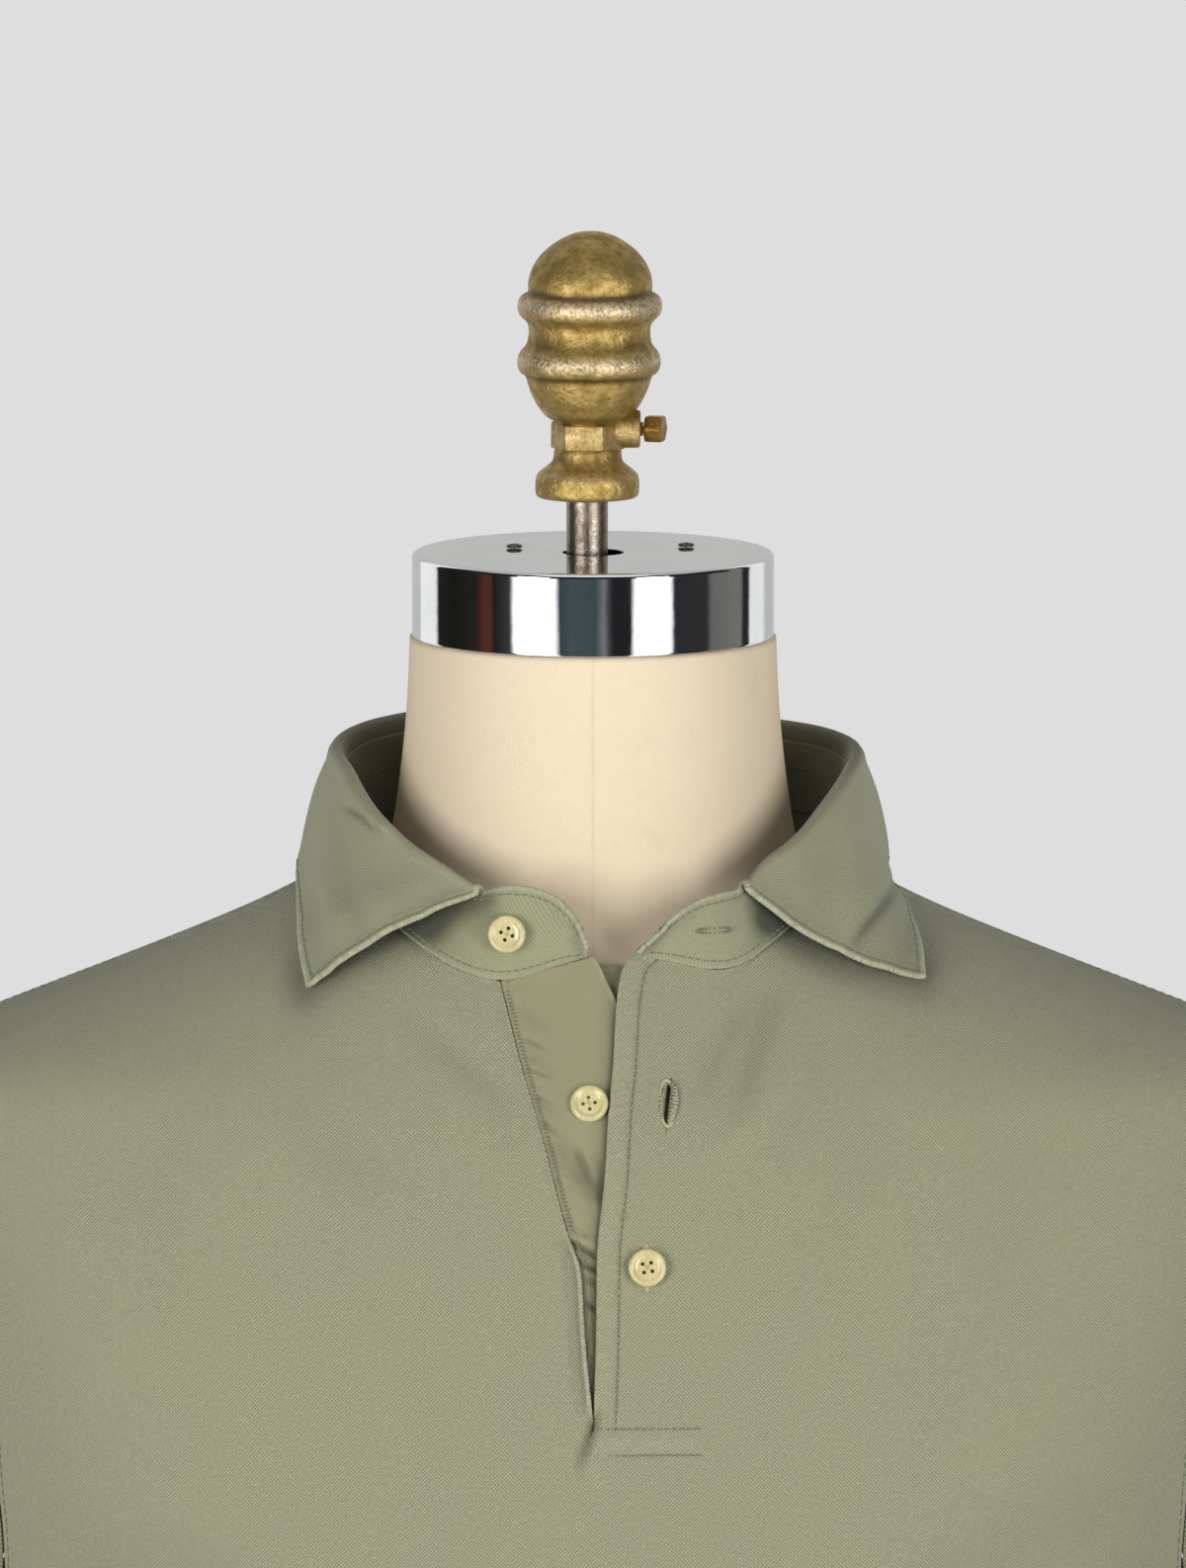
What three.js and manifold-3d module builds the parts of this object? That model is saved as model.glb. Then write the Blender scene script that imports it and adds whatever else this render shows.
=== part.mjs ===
// Short-sleeved polo shirt on a limbless dress form with a finial and a round base.
// Millimetres. The origin is under the middle of the base, +Z is up and the front faces -Y.
import * as THREE from 'three';
import { mergeVertices } from 'three/addons/utils/BufferGeometryUtils.js';
import Module from 'manifold-3d';

const wasm = await Module();
wasm.setup();

// Driving sizes
const CLOTH = 1.2;
const COLLAR_CLOTH = 1.6;
const SEAM_GAP = 0.4;
const LAYER_GAP = 0.7;
const BAND_LIFT = 0.8;
const FACE_GAP = 0.3;

const CAP_TOP = 1020;
const CAP_HEIGHT = 26;
const CAP_RADIUS = 56.3;
const CAP_EDGE = 2.2;
const CAP_HOLE = 9.4;
const ROD_RADIUS = 6.45;
const TORSO_BOTTOM = 190;
const BASE_RADIUS = 175;
const BASE_HEIGHT = 14;
const BOSS_RADIUS = 34;
const BOSS_HEIGHT = 26;
const POLE_RADIUS = 16;

const UNDERARM = 682;
const SHOULDER_TIP = 863;
const HEM = 216;
const SLIT_BOTTOM = 763;

const BUTTON_RADIUS = 5.9;
const BUTTON_THICKNESS = 2.6;

// Sections of the shirt's outer face, from the hem up. half, front and back are the half width and
// the depths, power is the roundness of the section, and the room columns say how far inside the
// face the dress form lies.
const SECTIONS = [
  { z: 190, half: 189, front: 122, back: 129, power: 2.35, sideRoom: 17, frontRoom: 14, backRoom: 14 },
  { z: 216, half: 189, front: 122, back: 129, power: 2.35, sideRoom: 15, frontRoom: 13, backRoom: 12 },
  { z: 300, half: 187, front: 120, back: 127, power: 2.35, sideRoom: 13, frontRoom: 11, backRoom: 9 },
  { z: 400, half: 184, front: 118, back: 121, power: 2.35, sideRoom: 17, frontRoom: 11, backRoom: 10 },
  { z: 480, half: 182, front: 118, back: 116, power: 2.35, sideRoom: 24, frontRoom: 15, backRoom: 17 },
  { z: 560, half: 183, front: 121, back: 117, power: 2.35, sideRoom: 24, frontRoom: 16, backRoom: 20 },
  { z: 640, half: 187, front: 125, back: 121, power: 2.35, sideRoom: 16, frontRoom: 10, backRoom: 13 },
  { z: 682, half: 190, front: 126.5, back: 124, power: 2.35, sideRoom: 14, frontRoom: 7, backRoom: 9 },
  { z: 707, half: 192, front: 126, back: 125, power: 2.3, sideRoom: 13, frontRoom: 6.5, backRoom: 7 },
  { z: 728, half: 195, front: 125, back: 126, power: 2.25, sideRoom: 13, frontRoom: 6.5, backRoom: 6 },
  { z: 760, half: 203, front: 122, back: 125, power: 2.15, sideRoom: 12, frontRoom: 6, backRoom: 5 },
  { z: 800, half: 214, front: 116, back: 121, power: 2.0, sideRoom: 13, frontRoom: 6, backRoom: 4.5 },
  { z: 830, half: 222, front: 109, back: 114, power: 1.9, sideRoom: 16, frontRoom: 6, backRoom: 4 },
  { z: 850, half: 225, front: 103, back: 108, power: 1.8, sideRoom: 18, frontRoom: 6, backRoom: 3.5 },
  { z: 863, half: 222, front: 98, back: 103, power: 1.75, sideRoom: 15, frontRoom: 6, backRoom: 3.5 },
  { z: 870.5, half: 205, front: 94.5, back: 99.5, power: 1.7, sideRoom: 5, frontRoom: 6, backRoom: 3.5 },
  { z: 878.5, half: 185, front: 91, back: 96, power: 1.7, sideRoom: 4, frontRoom: 6, backRoom: 3.5 },
  { z: 890, half: 155, front: 85.5, back: 90, power: 1.72, sideRoom: 4, frontRoom: 6, backRoom: 3.5 },
  { z: 897, half: 137, front: 82, back: 86.5, power: 1.73, sideRoom: 4, frontRoom: 6, backRoom: 3.5 },
  { z: 903, half: 122, front: 79, back: 83, power: 1.75, sideRoom: 4, frontRoom: 6, backRoom: 3.5 },
  { z: 908.4, half: 109, front: 76, back: 80, power: 1.78, sideRoom: 7, frontRoom: 6, backRoom: 4 },
  { z: 916.5, half: 92, front: 72, back: 76, power: 1.9, sideRoom: 10, frontRoom: 7, backRoom: 5 },
  { z: 926, half: 76, front: 66, back: 70, power: 2.0, sideRoom: 11, frontRoom: 5, backRoom: 7 },
  { z: 936, half: 68, front: 63, back: 65, power: 2.0, sideRoom: 6, frontRoom: 2, backRoom: 4 },
];

// Sections of the form's bare neck, above the shirt
const NECK_SECTIONS = [
  { z: 950, half: 60.2, front: 60.4, back: 59.6 },
  { z: 975, half: 57.8, front: 58, back: 57.8 },
  { z: CAP_TOP - CAP_HEIGHT - FACE_GAP, half: 57, front: 57, back: 57 },
];

// The armhole seam as seen from the side, from the shoulder tip down to the underarm
const ARMHOLE = [
  { z: SHOULDER_TIP, front: 0, back: 0 },
  { z: 857, front: -19, back: 12 },
  { z: 845, front: -34, back: 25 },
  { z: 825, front: -45, back: 38 },
  { z: 795, front: -52, back: 50 },
  { z: 760, front: -53, back: 55 },
  { z: 730, front: -49, back: 54 },
  { z: 707, front: -47, back: 48 },
  { z: 691, front: -34, back: 32 },
  { z: UNDERARM, front: 0, back: 0 },
];

// The two edges of the placket slit and the hidden edge of the under placket, against height
const SLIT_LEFT = [
  { z: SLIT_BOTTOM, x: 0 },
  { z: 772, x: -0.9 },
  { z: 793, x: -2.8 },
  { z: 810, x: -3.8 },
  { z: 824, x: -8.6 },
  { z: 854, x: -16.9 },
  { z: 871, x: -22.2 },
  { z: 896.4, x: -29.2 },
];
const SLIT_RIGHT = [
  { z: SLIT_BOTTOM, x: 0 },
  { z: 790, x: 0.9 },
  { z: 814, x: 1.2 },
  { z: 840, x: 3.7 },
  { z: 860, x: 4.9 },
  { z: 872, x: 6.2 },
  { z: 891, x: 7.4 },
  { z: 900.7, x: 9.2 },
  { z: 904.7, x: 13 },
];
const UNDER_EDGE = [
  { z: SLIT_BOTTOM - 6, x: 30 },
  { z: 810, x: 27 },
  { z: 824, x: 22 },
  { z: 854, x: 15 },
  { z: 871, x: 11 },
  { z: 891, x: 7 },
  { z: 898, x: 3.5 },
  { z: 905.4, x: -0.6 },
];

// The neck seam of each front half, from the shoulder to the placket
const NECK_LEFT = [
  { x: -76, z: 926 },
  { x: -72.5, z: 921.5 },
  { x: -66, z: 914.5 },
  { x: -56, z: 907.5 },
  { x: -42, z: 899.5 },
  { x: -29.2, z: 896.4 },
];
const NECK_RIGHT = [
  { x: 76, z: 926 },
  { x: 72.5, z: 921.5 },
  { x: 66, z: 914.5 },
  { x: 57, z: 908 },
  { x: 42, z: 899.3 },
  { x: 25, z: 902 },
  { x: 13, z: 904.7 },
];

// The neck seam at the back, right half, and the seam between the band and the under placket
const NECK_BACK = [
  { x: 76, z: 926 },
  { x: 69.5, z: 926.5 },
  { x: 51.6, z: 926.7 },
  { x: 26.8, z: 926.7 },
  { x: 0, z: 926.7 },
];
const PLACKET_TOP = [
  { x: -0.6, z: 905.4 },
  { x: -10, z: 902.3 },
  { x: -20, z: 899.1 },
];

// The collar in stations from its left front end round the back to its right front end. seam is
// where the band meets the neck seam, seen from above, top is the band's upper edge on the side
// towards the neck, rise is how far the leaf climbs before it turns over, edge is the leaf's free
// edge, and sag is how far the middle of its fall hangs below a straight line. The leaf begins and
// ends where edge does.
const COLLAR = [
  { seam: [-0.6, -84], top: [-0.9, -84, 907.4] },
  { seam: [-5, -83.5], top: [-4.6, -82.5, 915.5] },
  { seam: [-10, -82.5], top: [-10.5, -81, 922] },
  { seam: [-18, -82], top: [-18.5, -79, 925] },
  { seam: [-27, -81], top: [-27, -77.5, 925.2] },
  { seam: [-38, -76.5], top: [-34, -74, 923], rise: 3, edge: [-88.6, -66, 893.5], sag: -3 },
  { seam: [-47, -70.5], top: [-45, -65.5, 927.5], rise: 4, edge: [-91, -53, 903.5], sag: -2 },
  { seam: [-56, -62.5], top: [-56, -53.5, 932.5], rise: 5, edge: [-91.8, -38, 912], sag: 0 },
  { seam: [-66, -46.5], top: [-66.5, -39, 941], rise: 5.5, edge: [-92.3, -20, 918], sag: 0 },
  { seam: [-73.2, -24], top: [-73.5, -20, 950], rise: 6, edge: [-92.5, -2, 920.5], sag: 0 },
  { seam: [-75.2, 4], top: [-77, 6, 953.5], rise: 6, edge: [-91.5, 20, 920.5], sag: 0 },
  { seam: [-69.5, 27], top: [-70, 29, 956.5], rise: 6, edge: [-84, 44, 920.5], sag: 0 },
  { seam: [-51.6, 49.6], top: [-52, 48, 958], rise: 6, edge: [-62, 64, 921], sag: 0 },
  { seam: [-26.8, 64.6], top: [-27, 59.5, 958.5], rise: 6, edge: [-33, 76, 921], sag: 0 },
  { seam: [0, 69.2], top: [0, 62.5, 958], rise: 6, edge: [0, 80, 921], sag: 0 },
  { seam: [26.8, 64.6], top: [27.5, 59.5, 957], rise: 6, edge: [34, 76, 920.5], sag: 0 },
  { seam: [51.6, 49.6], top: [53, 48, 955.5], rise: 6, edge: [64, 64, 920], sag: 0 },
  { seam: [69.5, 27], top: [72, 29, 954.5], rise: 6, edge: [86, 45, 919.5], sag: 0 },
  { seam: [75.2, 4], top: [79, 6, 952.5], rise: 6, edge: [94, 20, 919.5], sag: 0 },
  { seam: [73.2, -24], top: [76.5, -18, 949], rise: 6, edge: [96.5, -2, 918.5], sag: 0 },
  { seam: [66, -46.5], top: [70, -35, 942], rise: 5.5, edge: [98.5, -20, 916], sag: 0 },
  { seam: [58, -61.5], top: [60.5, -51, 933], rise: 5, edge: [100.5, -36, 909.5], sag: 1 },
  { seam: [50, -68.5], top: [51.5, -61, 928], rise: 4, edge: [102, -46, 902.5], sag: 3 },
  { seam: [41, -75.5], top: [45, -68.5, 923.5], rise: 3, edge: [102.5, -56, 894.8], sag: 5 },
  { seam: [33, -79], top: [38, -75, 922.5] },
  { seam: [25, -80.5], top: [31, -78, 920.5] },
  { seam: [19, -82], top: [24, -80.5, 916] },
  { seam: [15.5, -83], top: [18, -82.5, 910.5] },
  { seam: [13, -83.5], top: [13.8, -83.5, 906.8] },
];

// Soft hanging folds of the body. angle is where the fold lies round the body, 0 at the front and
// 90 at the right side, spread is its width in degrees, depth is how far it stands out at the hem,
// start is the height where it begins, and lean is how far it drifts round by the hem.
const FOLDS = [
  { angle: -74, spread: 8, depth: 13, start: 655, lean: 5 },
  { angle: -47, spread: 9, depth: 8, start: 600, lean: 3 },
  { angle: -17, spread: 8, depth: 10, start: 560, lean: -3 },
  { angle: 21, spread: 10, depth: 11, start: 610, lean: 2 },
  { angle: 52, spread: 8, depth: 8, start: 570, lean: -4 },
  { angle: 78, spread: 9, depth: 14, start: 660, lean: -5 },
  { angle: 104, spread: 8, depth: 11, start: 640, lean: 5 },
  { angle: 131, spread: 9, depth: 13, start: 690, lean: 3 },
  { angle: 158, spread: 10, depth: 10, start: 640, lean: -2 },
  { angle: 187, spread: 9, depth: 13, start: 670, lean: 3 },
  { angle: 214, spread: 8, depth: 10, start: 630, lean: 4 },
  { angle: 238, spread: 9, depth: 14, start: 680, lean: -3 },
  { angle: 262, spread: 8, depth: 10, start: 640, lean: -5 },
];

// Small helpers

function vector(list) {
  return new THREE.Vector3(list[0], list[1], list[2]);
}

// A smooth curve through one column of a table, against another column that rises down the table
function through(rows, along, column) {
  const places = rows.map((row) => row[along]);
  const values = rows.map((row) => row[column]);
  const last = rows.length - 1;
  const steps = values.slice(1).map((value, i) => (value - values[i]) / (places[i + 1] - places[i]));
  const slopes = values.map((value, i) => {
    if (i === 0 || i === last) {
      return steps[Math.min(i, last - 1)];
    }
    const product = steps[i - 1] * steps[i];
    return product > 0 ? (2 * product) / (steps[i - 1] + steps[i]) : 0;
  });
  return (place) => {
    const inside = THREE.MathUtils.clamp(place, places[0], places[last]);
    let i = 0;
    while (i < last - 1 && places[i + 1] < inside) {
      i += 1;
    }
    const width = places[i + 1] - places[i];
    const t = (inside - places[i]) / width;
    const stay = (1 + 2 * t) * (1 - t) ** 2;
    const leave = t * (1 - t) ** 2 * width;
    const arrive = t ** 2 * (t - 1) * width;
    return stay * values[i] + (1 - stay) * values[i + 1] + leave * slopes[i] + arrive * slopes[i + 1];
  };
}

// Points spread evenly along a smooth line through the rows of a table
function spaced(rows, toPoint, count) {
  return new THREE.CatmullRomCurve3(rows.map(toPoint)).getSpacedPoints(count);
}

// Sections of shirt and form

const shirtHalf = through(SECTIONS, 'z', 'half');
const shirtFront = through(SECTIONS, 'z', 'front');
const shirtBack = through(SECTIONS, 'z', 'back');
const shirtPower = through(SECTIONS, 'z', 'power');
const sideRoom = through(SECTIONS, 'z', 'sideRoom');
const frontRoom = through(SECTIONS, 'z', 'frontRoom');
const backRoom = through(SECTIONS, 'z', 'backRoom');

function shirtDepth(z, isFront) {
  return isFront ? shirtFront(z) : shirtBack(z);
}

// Depth of the outer face at a place seen from the front
function depthAt(x, z, isFront) {
  const power = shirtPower(z);
  const share = Math.min(Math.abs(x) / shirtHalf(z), 1);
  const depth = shirtDepth(z, isFront) * (1 - share ** power) ** (1 / power);
  return isFront ? -depth : depth;
}

// Half width of the outer face at a place seen from the side
function widthAt(y, z) {
  const power = shirtPower(z);
  const share = Math.min(Math.abs(y) / shirtDepth(z, y < 0), 1);
  return shirtHalf(z) * (1 - share ** power) ** (1 / power);
}

// A point of a section at an angle, 0 at the front and 90 degrees at the right side
function aroundSection(angle, half, front, back, power, z) {
  const across = Math.sin(angle);
  const along = Math.cos(angle);
  const x = half * Math.sign(across) * Math.abs(across) ** (2 / power);
  const depth = along > 0 ? front : back;
  const y = -depth * Math.sign(along) * Math.abs(along) ** (2 / power);
  return new THREE.Vector3(x, y, z);
}

// Outward direction of the shirt's face, from how its section equation changes around the point
function shirtNormal(point) {
  const reach = 0.05;
  const inside = (x, y, z) => {
    const power = shirtPower(z);
    return (Math.abs(x) / shirtHalf(z)) ** power + (Math.abs(y) / shirtDepth(z, y < 0)) ** power;
  };
  const { x, y, z } = point;
  return new THREE.Vector3(
    inside(x + reach, y, z) - inside(x - reach, y, z),
    inside(x, y + reach, z) - inside(x, y - reach, z),
    inside(x, y, z + reach) - inside(x, y, z - reach),
  ).normalize();
}

function foldDepth(angle, z) {
  let depth = 0;
  for (const fold of FOLDS) {
    const fallen = THREE.MathUtils.clamp((fold.start - z) / (fold.start - HEM), 0, 1);
    const centre = fold.angle + fold.lean * fallen;
    let turn = THREE.MathUtils.radToDeg(angle) - centre;
    turn -= 360 * Math.round(turn / 360);
    depth += fold.depth * fallen ** 1.3 * Math.exp(-((turn / fold.spread) ** 2));
  }
  return depth;
}

// A point of the shirt's body below the underarm, with its hanging folds
function hangingPoint(angle, z) {
  const power = shirtPower(z);
  const point = aroundSection(angle, shirtHalf(z), shirtFront(z), shirtBack(z), power, z);
  const outward = shirtNormal(point).setZ(0).normalize();
  return point.addScaledVector(outward, foldDepth(angle, z));
}

// Closed meshes

// One closed mesh from points and faces, turned so that its faces point out
function closedGeometry(points, faces) {
  let volume = 0;
  for (const [a, b, c] of faces) {
    volume += points[a].dot(new THREE.Vector3().crossVectors(points[b], points[c]));
  }
  const turned = volume < 0 ? faces.map(([a, b, c]) => [a, c, b]) : faces;
  const geometry = new THREE.BufferGeometry();
  const positions = points.flatMap((point) => [point.x, point.y, point.z]);
  geometry.setAttribute('position', new THREE.Float32BufferAttribute(positions, 3));
  geometry.setIndex(turned.flat());
  geometry.computeVertexNormals();
  return geometry;
}

// A sheet of points and triangles that grows by grids, with shared points kept once
function newSheet() {
  const points = [];
  const triangles = [];
  const places = new Map();
  const indexOf = (point) => {
    const key = point.toArray().map((value) => Math.round(value * 1000)).join(' ');
    if (!places.has(key)) {
      places.set(key, points.length);
      points.push(point);
    }
    return places.get(key);
  };
  const addGrid = (rows) => {
    const indices = rows.map((row) => row.map(indexOf));
    for (let j = 0; j < indices.length - 1; j += 1) {
      for (let i = 0; i < indices[j].length - 1; i += 1) {
        const [a, b] = [indices[j][i], indices[j][i + 1]];
        const [c, d] = [indices[j + 1][i], indices[j + 1][i + 1]];
        if (a !== b && a !== c && b !== c) {
          triangles.push([a, c, b]);
        }
        if (b !== c && c !== d && b !== d) {
          triangles.push([b, c, d]);
        }
      }
    }
  };
  return { points, triangles, addGrid };
}

// Normals of a sheet from its own triangles, for cloth that has no section equation
function sheetNormals(sheet) {
  const normals = sheet.points.map(() => new THREE.Vector3());
  for (const [a, b, c] of sheet.triangles) {
    const side = sheet.points[b].clone().sub(sheet.points[a]);
    const other = sheet.points[c].clone().sub(sheet.points[a]);
    const face = side.cross(other);
    for (const corner of [a, b, c]) {
      normals[corner].add(face);
    }
  }
  return normals.map((normal) => normal.normalize());
}

// A cloth wall: the sheet, a second face behind it, and a strip along every free edge
function clothWall(sheet, normals, thickness) {
  const behind = sheet.points.map((point, i) => point.clone().addScaledVector(normals[i], -thickness));
  const shift = sheet.points.length;
  const faces = [];
  const free = new Map();
  for (const [a, b, c] of sheet.triangles) {
    faces.push([a, b, c], [a + shift, c + shift, b + shift]);
    for (const [from, to] of [[a, b], [b, c], [c, a]]) {
      if (!free.delete(`${to} ${from}`)) {
        free.set(`${from} ${to}`, [from, to]);
      }
    }
  }
  for (const [from, to] of free.values()) {
    faces.push([to, from, from + shift], [to, from + shift, to + shift]);
  }
  return closedGeometry(sheet.points.concat(behind), faces);
}

function toManifold(geometry) {
  const bare = geometry.clone();
  bare.deleteAttribute('normal');
  bare.deleteAttribute('uv');
  const merged = mergeVertices(bare, 1e-4);
  return new wasm.Manifold(new wasm.Mesh({
    numProp: 3,
    vertProperties: Float32Array.from(merged.attributes.position.array),
    triVerts: Uint32Array.from(merged.index.array),
  }));
}

function fromManifold(solid) {
  const mesh = solid.getMesh();
  const geometry = new THREE.BufferGeometry();
  geometry.setAttribute('position', new THREE.BufferAttribute(mesh.vertProperties, 3));
  geometry.setIndex(new THREE.BufferAttribute(mesh.triVerts, 1));
  geometry.computeVertexNormals();
  return geometry;
}

// A turned solid about the Z axis, from [radius, height] pairs
function turned(profile, segments) {
  const points = profile.map(([radius, height]) => new THREE.Vector2(radius, height));
  return new THREE.LatheGeometry(points, segments).rotateX(Math.PI / 2);
}

// Materials

const MATERIALS = {
  pique: { color: 0x969c7d, roughness: 0.95, metalness: 0 },
  placketCloth: { color: 0x98967a, roughness: 0.92, metalness: 0 },
  shell: { color: 0xd7d2a0, roughness: 0.3, metalness: 0 },
  canvas: { color: 0xebdcc3, roughness: 0.9, metalness: 0 },
  chrome: { color: 0xe4e6e8, roughness: 0.06, metalness: 1 },
  brass: { color: 0x8c7442, roughness: 0.45, metalness: 1 },
  steel: { color: 0x8a827a, roughness: 0.4, metalness: 1 },
  darkPaint: { color: 0x2c2c2e, roughness: 0.5, metalness: 0.2 },
};

const part = new THREE.Group();

function addPiece(name, geometry, material) {
  const mesh = new THREE.Mesh(geometry, new THREE.MeshStandardMaterial(MATERIALS[material]));
  mesh.name = name;
  part.add(mesh);
  return mesh;
}

// Body panels

const UPPER_ROWS = 12;
const SLIT_ROWS = 8;
const LOWER_ROWS = 9;
const SEAM_STEPS = 6;
const NECK_STEPS = 6;
const COLUMNS = SEAM_STEPS + NECK_STEPS;

// How far down a panel each row lies, with the rows close together at the shoulder
function rowShare(row, rows) {
  return (row / rows) ** 1.6;
}

// The angle of each column below the underarm, from the side seam to the middle
function columnAngle(column) {
  return (Math.PI / 2) * (1 - column / COLUMNS) ** 1.3;
}

function armholeEdge(column) {
  const rows = [...ARMHOLE].reverse();
  const depth = through(rows, 'z', column);
  return Array.from({ length: UPPER_ROWS + 1 }, (_, j) => {
    const z = THREE.MathUtils.lerp(SHOULDER_TIP, UNDERARM, rowShare(j, UPPER_ROWS));
    return { x: widthAt(depth(z), z), z };
  });
}

// The top edge of a half panel: the shoulder seam on the ridge, then the neck seam
function topEdge(neckRows) {
  const neckZ = neckRows[0].z;
  const seam = Array.from({ length: SEAM_STEPS }, (_, i) => {
    const z = THREE.MathUtils.lerp(SHOULDER_TIP, neckZ, i / SEAM_STEPS);
    return { x: shirtHalf(z), z };
  });
  const neck = spaced(neckRows, (row) => new THREE.Vector3(Math.abs(row.x), 0, row.z), NECK_STEPS);
  return seam.concat(neck.map((point) => ({ x: point.x, z: point.z })));
}

// The middle edge of a half panel, along one side of the slit and then down the centre line
function middleEdge(top, slitRows, sign) {
  const slit = slitRows ? through(slitRows, 'z', 'x') : () => 0;
  const share = rowShare(SLIT_ROWS, UPPER_ROWS);
  return Array.from({ length: UPPER_ROWS + 1 }, (_, j) => {
    const down = rowShare(j, UPPER_ROWS);
    const z = j <= SLIT_ROWS
      ? THREE.MathUtils.lerp(top.z, SLIT_BOTTOM, down / share)
      : THREE.MathUtils.lerp(SLIT_BOTTOM, UNDERARM, (down - share) / (1 - share));
    return { x: j < SLIT_ROWS ? sign * slit(z) : 0, z };
  });
}

// A half panel as rows of points from the side to the middle. sign is -1 on the left.
function halfPanel(sign, isFront, neckRows, slitRows) {
  const top = topEdge(neckRows);
  const side = armholeEdge(isFront ? 'front' : 'back');
  const middle = middleEdge(top[COLUMNS], slitRows, sign);
  const bottom = Array.from({ length: COLUMNS + 1 }, (_, i) => {
    const power = shirtPower(UNDERARM);
    return { x: shirtHalf(UNDERARM) * Math.sin(columnAngle(i)) ** (2 / power), z: UNDERARM };
  });
  const seamSide = isFront ? -SEAM_GAP / 2 : SEAM_GAP / 2;
  const offSeam = (y) => (isFront ? Math.min(y, seamSide) : Math.max(y, seamSide));
  const rows = [];
  for (let j = 0; j <= UPPER_ROWS; j += 1) {
    const t = rowShare(j, UPPER_ROWS);
    rows.push(top.map((_, i) => {
      const s = i / COLUMNS;
      const blend = (key) => (1 - s) * side[j][key] + s * middle[j][key]
        + (1 - t) * top[i][key] + t * bottom[i][key]
        - (1 - s) * (1 - t) * top[0][key] - s * (1 - t) * top[COLUMNS][key]
        - (1 - s) * t * bottom[0][key] - s * t * bottom[COLUMNS][key];
      const x = blend('x');
      const z = blend('z');
      return new THREE.Vector3(sign * x, offSeam(depthAt(x, z, isFront)), z);
    }));
  }
  for (let j = 1; j <= LOWER_ROWS; j += 1) {
    const z = THREE.MathUtils.lerp(UNDERARM, HEM, j / LOWER_ROWS);
    rows.push(top.map((_, i) => {
      const quarter = columnAngle(i);
      const angle = sign * (isFront ? quarter : Math.PI - quarter);
      const point = hangingPoint(angle, z);
      return point.setY(offSeam(point.y));
    }));
  }
  return rows;
}

function panelSheet(isFront, neckLeft, neckRight, slitLeft, slitRight) {
  const sheet = newSheet();
  sheet.addGrid(halfPanel(-1, isFront, neckLeft, slitLeft));
  sheet.addGrid(halfPanel(1, isFront, neckRight, slitRight).map((row) => row.reverse()));
  return sheet;
}

function addFrontPanel() {
  const sheet = panelSheet(true, NECK_LEFT, NECK_RIGHT, SLIT_LEFT, SLIT_RIGHT);
  addPiece('front_panel', clothWall(sheet, sheet.points.map(shirtNormal), CLOTH), 'pique');
}

function addBackPanel() {
  const sheet = panelSheet(false, NECK_BACK, NECK_BACK, null, null);
  addPiece('back_panel', clothWall(sheet, sheet.points.map(shirtNormal), CLOTH), 'pique');
}

// Sleeves

const SLEEVE_ROUND = 26;
const SLEEVE_ROWS = 8;
const SLEEVE_GAP = 0.9;
const CUFF = { centre: [265, -4, 612], along: [0.26, -0.02, -0.965], wide: 67, deep: 40 };
const SLEEVE_STARTS = {
  top: [0.93, 0, -0.37],
  front: [0.6, -0.3, -0.74],
  back: [0.6, 0.3, -0.74],
  under: [0.5, 0, -0.87],
};

// A sleeve tube from the armhole to the cuff; each line along it is a bend that leaves the armhole
// in line with the shoulder and reaches the cuff in line with the hanging sleeve.
function sleeveSheet(sign) {
  const along = vector(CUFF.along).normalize();
  const wide = new THREE.Vector3(-along.z, 0, along.x).normalize();
  const deep = new THREE.Vector3(0, 1, 0);
  const half = SLEEVE_ROUND / 2;
  const toPoint = (side) => (row) => new THREE.Vector3(widthAt(row[side], row.z), row[side], row.z);
  const front = spaced(ARMHOLE, toPoint('front'), half);
  const back = spaced(ARMHOLE, toPoint('back'), half);
  const lines = Array.from({ length: SLEEVE_ROUND + 1 }, (_, i) => {
    const isFront = i <= half;
    const step = isFront ? i : SLEEVE_ROUND - i;
    const start = (isFront ? front : back)[step].clone();
    const round = (step / half) * Math.PI;
    const cuffSide = (isFront ? -1 : 1) * CUFF.deep * Math.sin(round);
    const end = vector(CUFF.centre)
      .addScaledVector(wide, CUFF.wide * Math.cos(round))
      .addScaledVector(deep, cuffSide);
    const outward = new THREE.QuadraticBezierCurve3(
      vector(SLEEVE_STARTS.top),
      vector(isFront ? SLEEVE_STARTS.front : SLEEVE_STARTS.back),
      vector(SLEEVE_STARTS.under),
    ).getPoint(step / half).normalize();
    start.addScaledVector(outward, SLEEVE_GAP);
    const length = start.distanceTo(end);
    return new THREE.CubicBezierCurve3(
      start,
      start.clone().addScaledVector(outward, length * 0.32),
      end.clone().addScaledVector(along, -length * 0.34),
      end,
    );
  });
  const sheet = newSheet();
  const rows = Array.from({ length: SLEEVE_ROWS + 1 }, (_, j) => lines.map((line) => {
    const point = line.getPoint(j / SLEEVE_ROWS);
    return point.setX(sign * point.x);
  }));
  sheet.addGrid(sign > 0 ? rows : rows.map((row) => row.reverse()));
  return sheet;
}

// Points the sheet's normals away from a middle line, whichever way its grid runs
function outwardNormals(sheet, awayFrom) {
  const normals = sheetNormals(sheet);
  let agreement = 0;
  sheet.points.forEach((point, i) => {
    agreement += normals[i].dot(point.clone().sub(awayFrom(point)));
  });
  if (agreement < 0) {
    sheet.triangles.forEach((triangle) => triangle.reverse());
    normals.forEach((normal) => normal.negate());
  }
  return normals;
}

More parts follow.
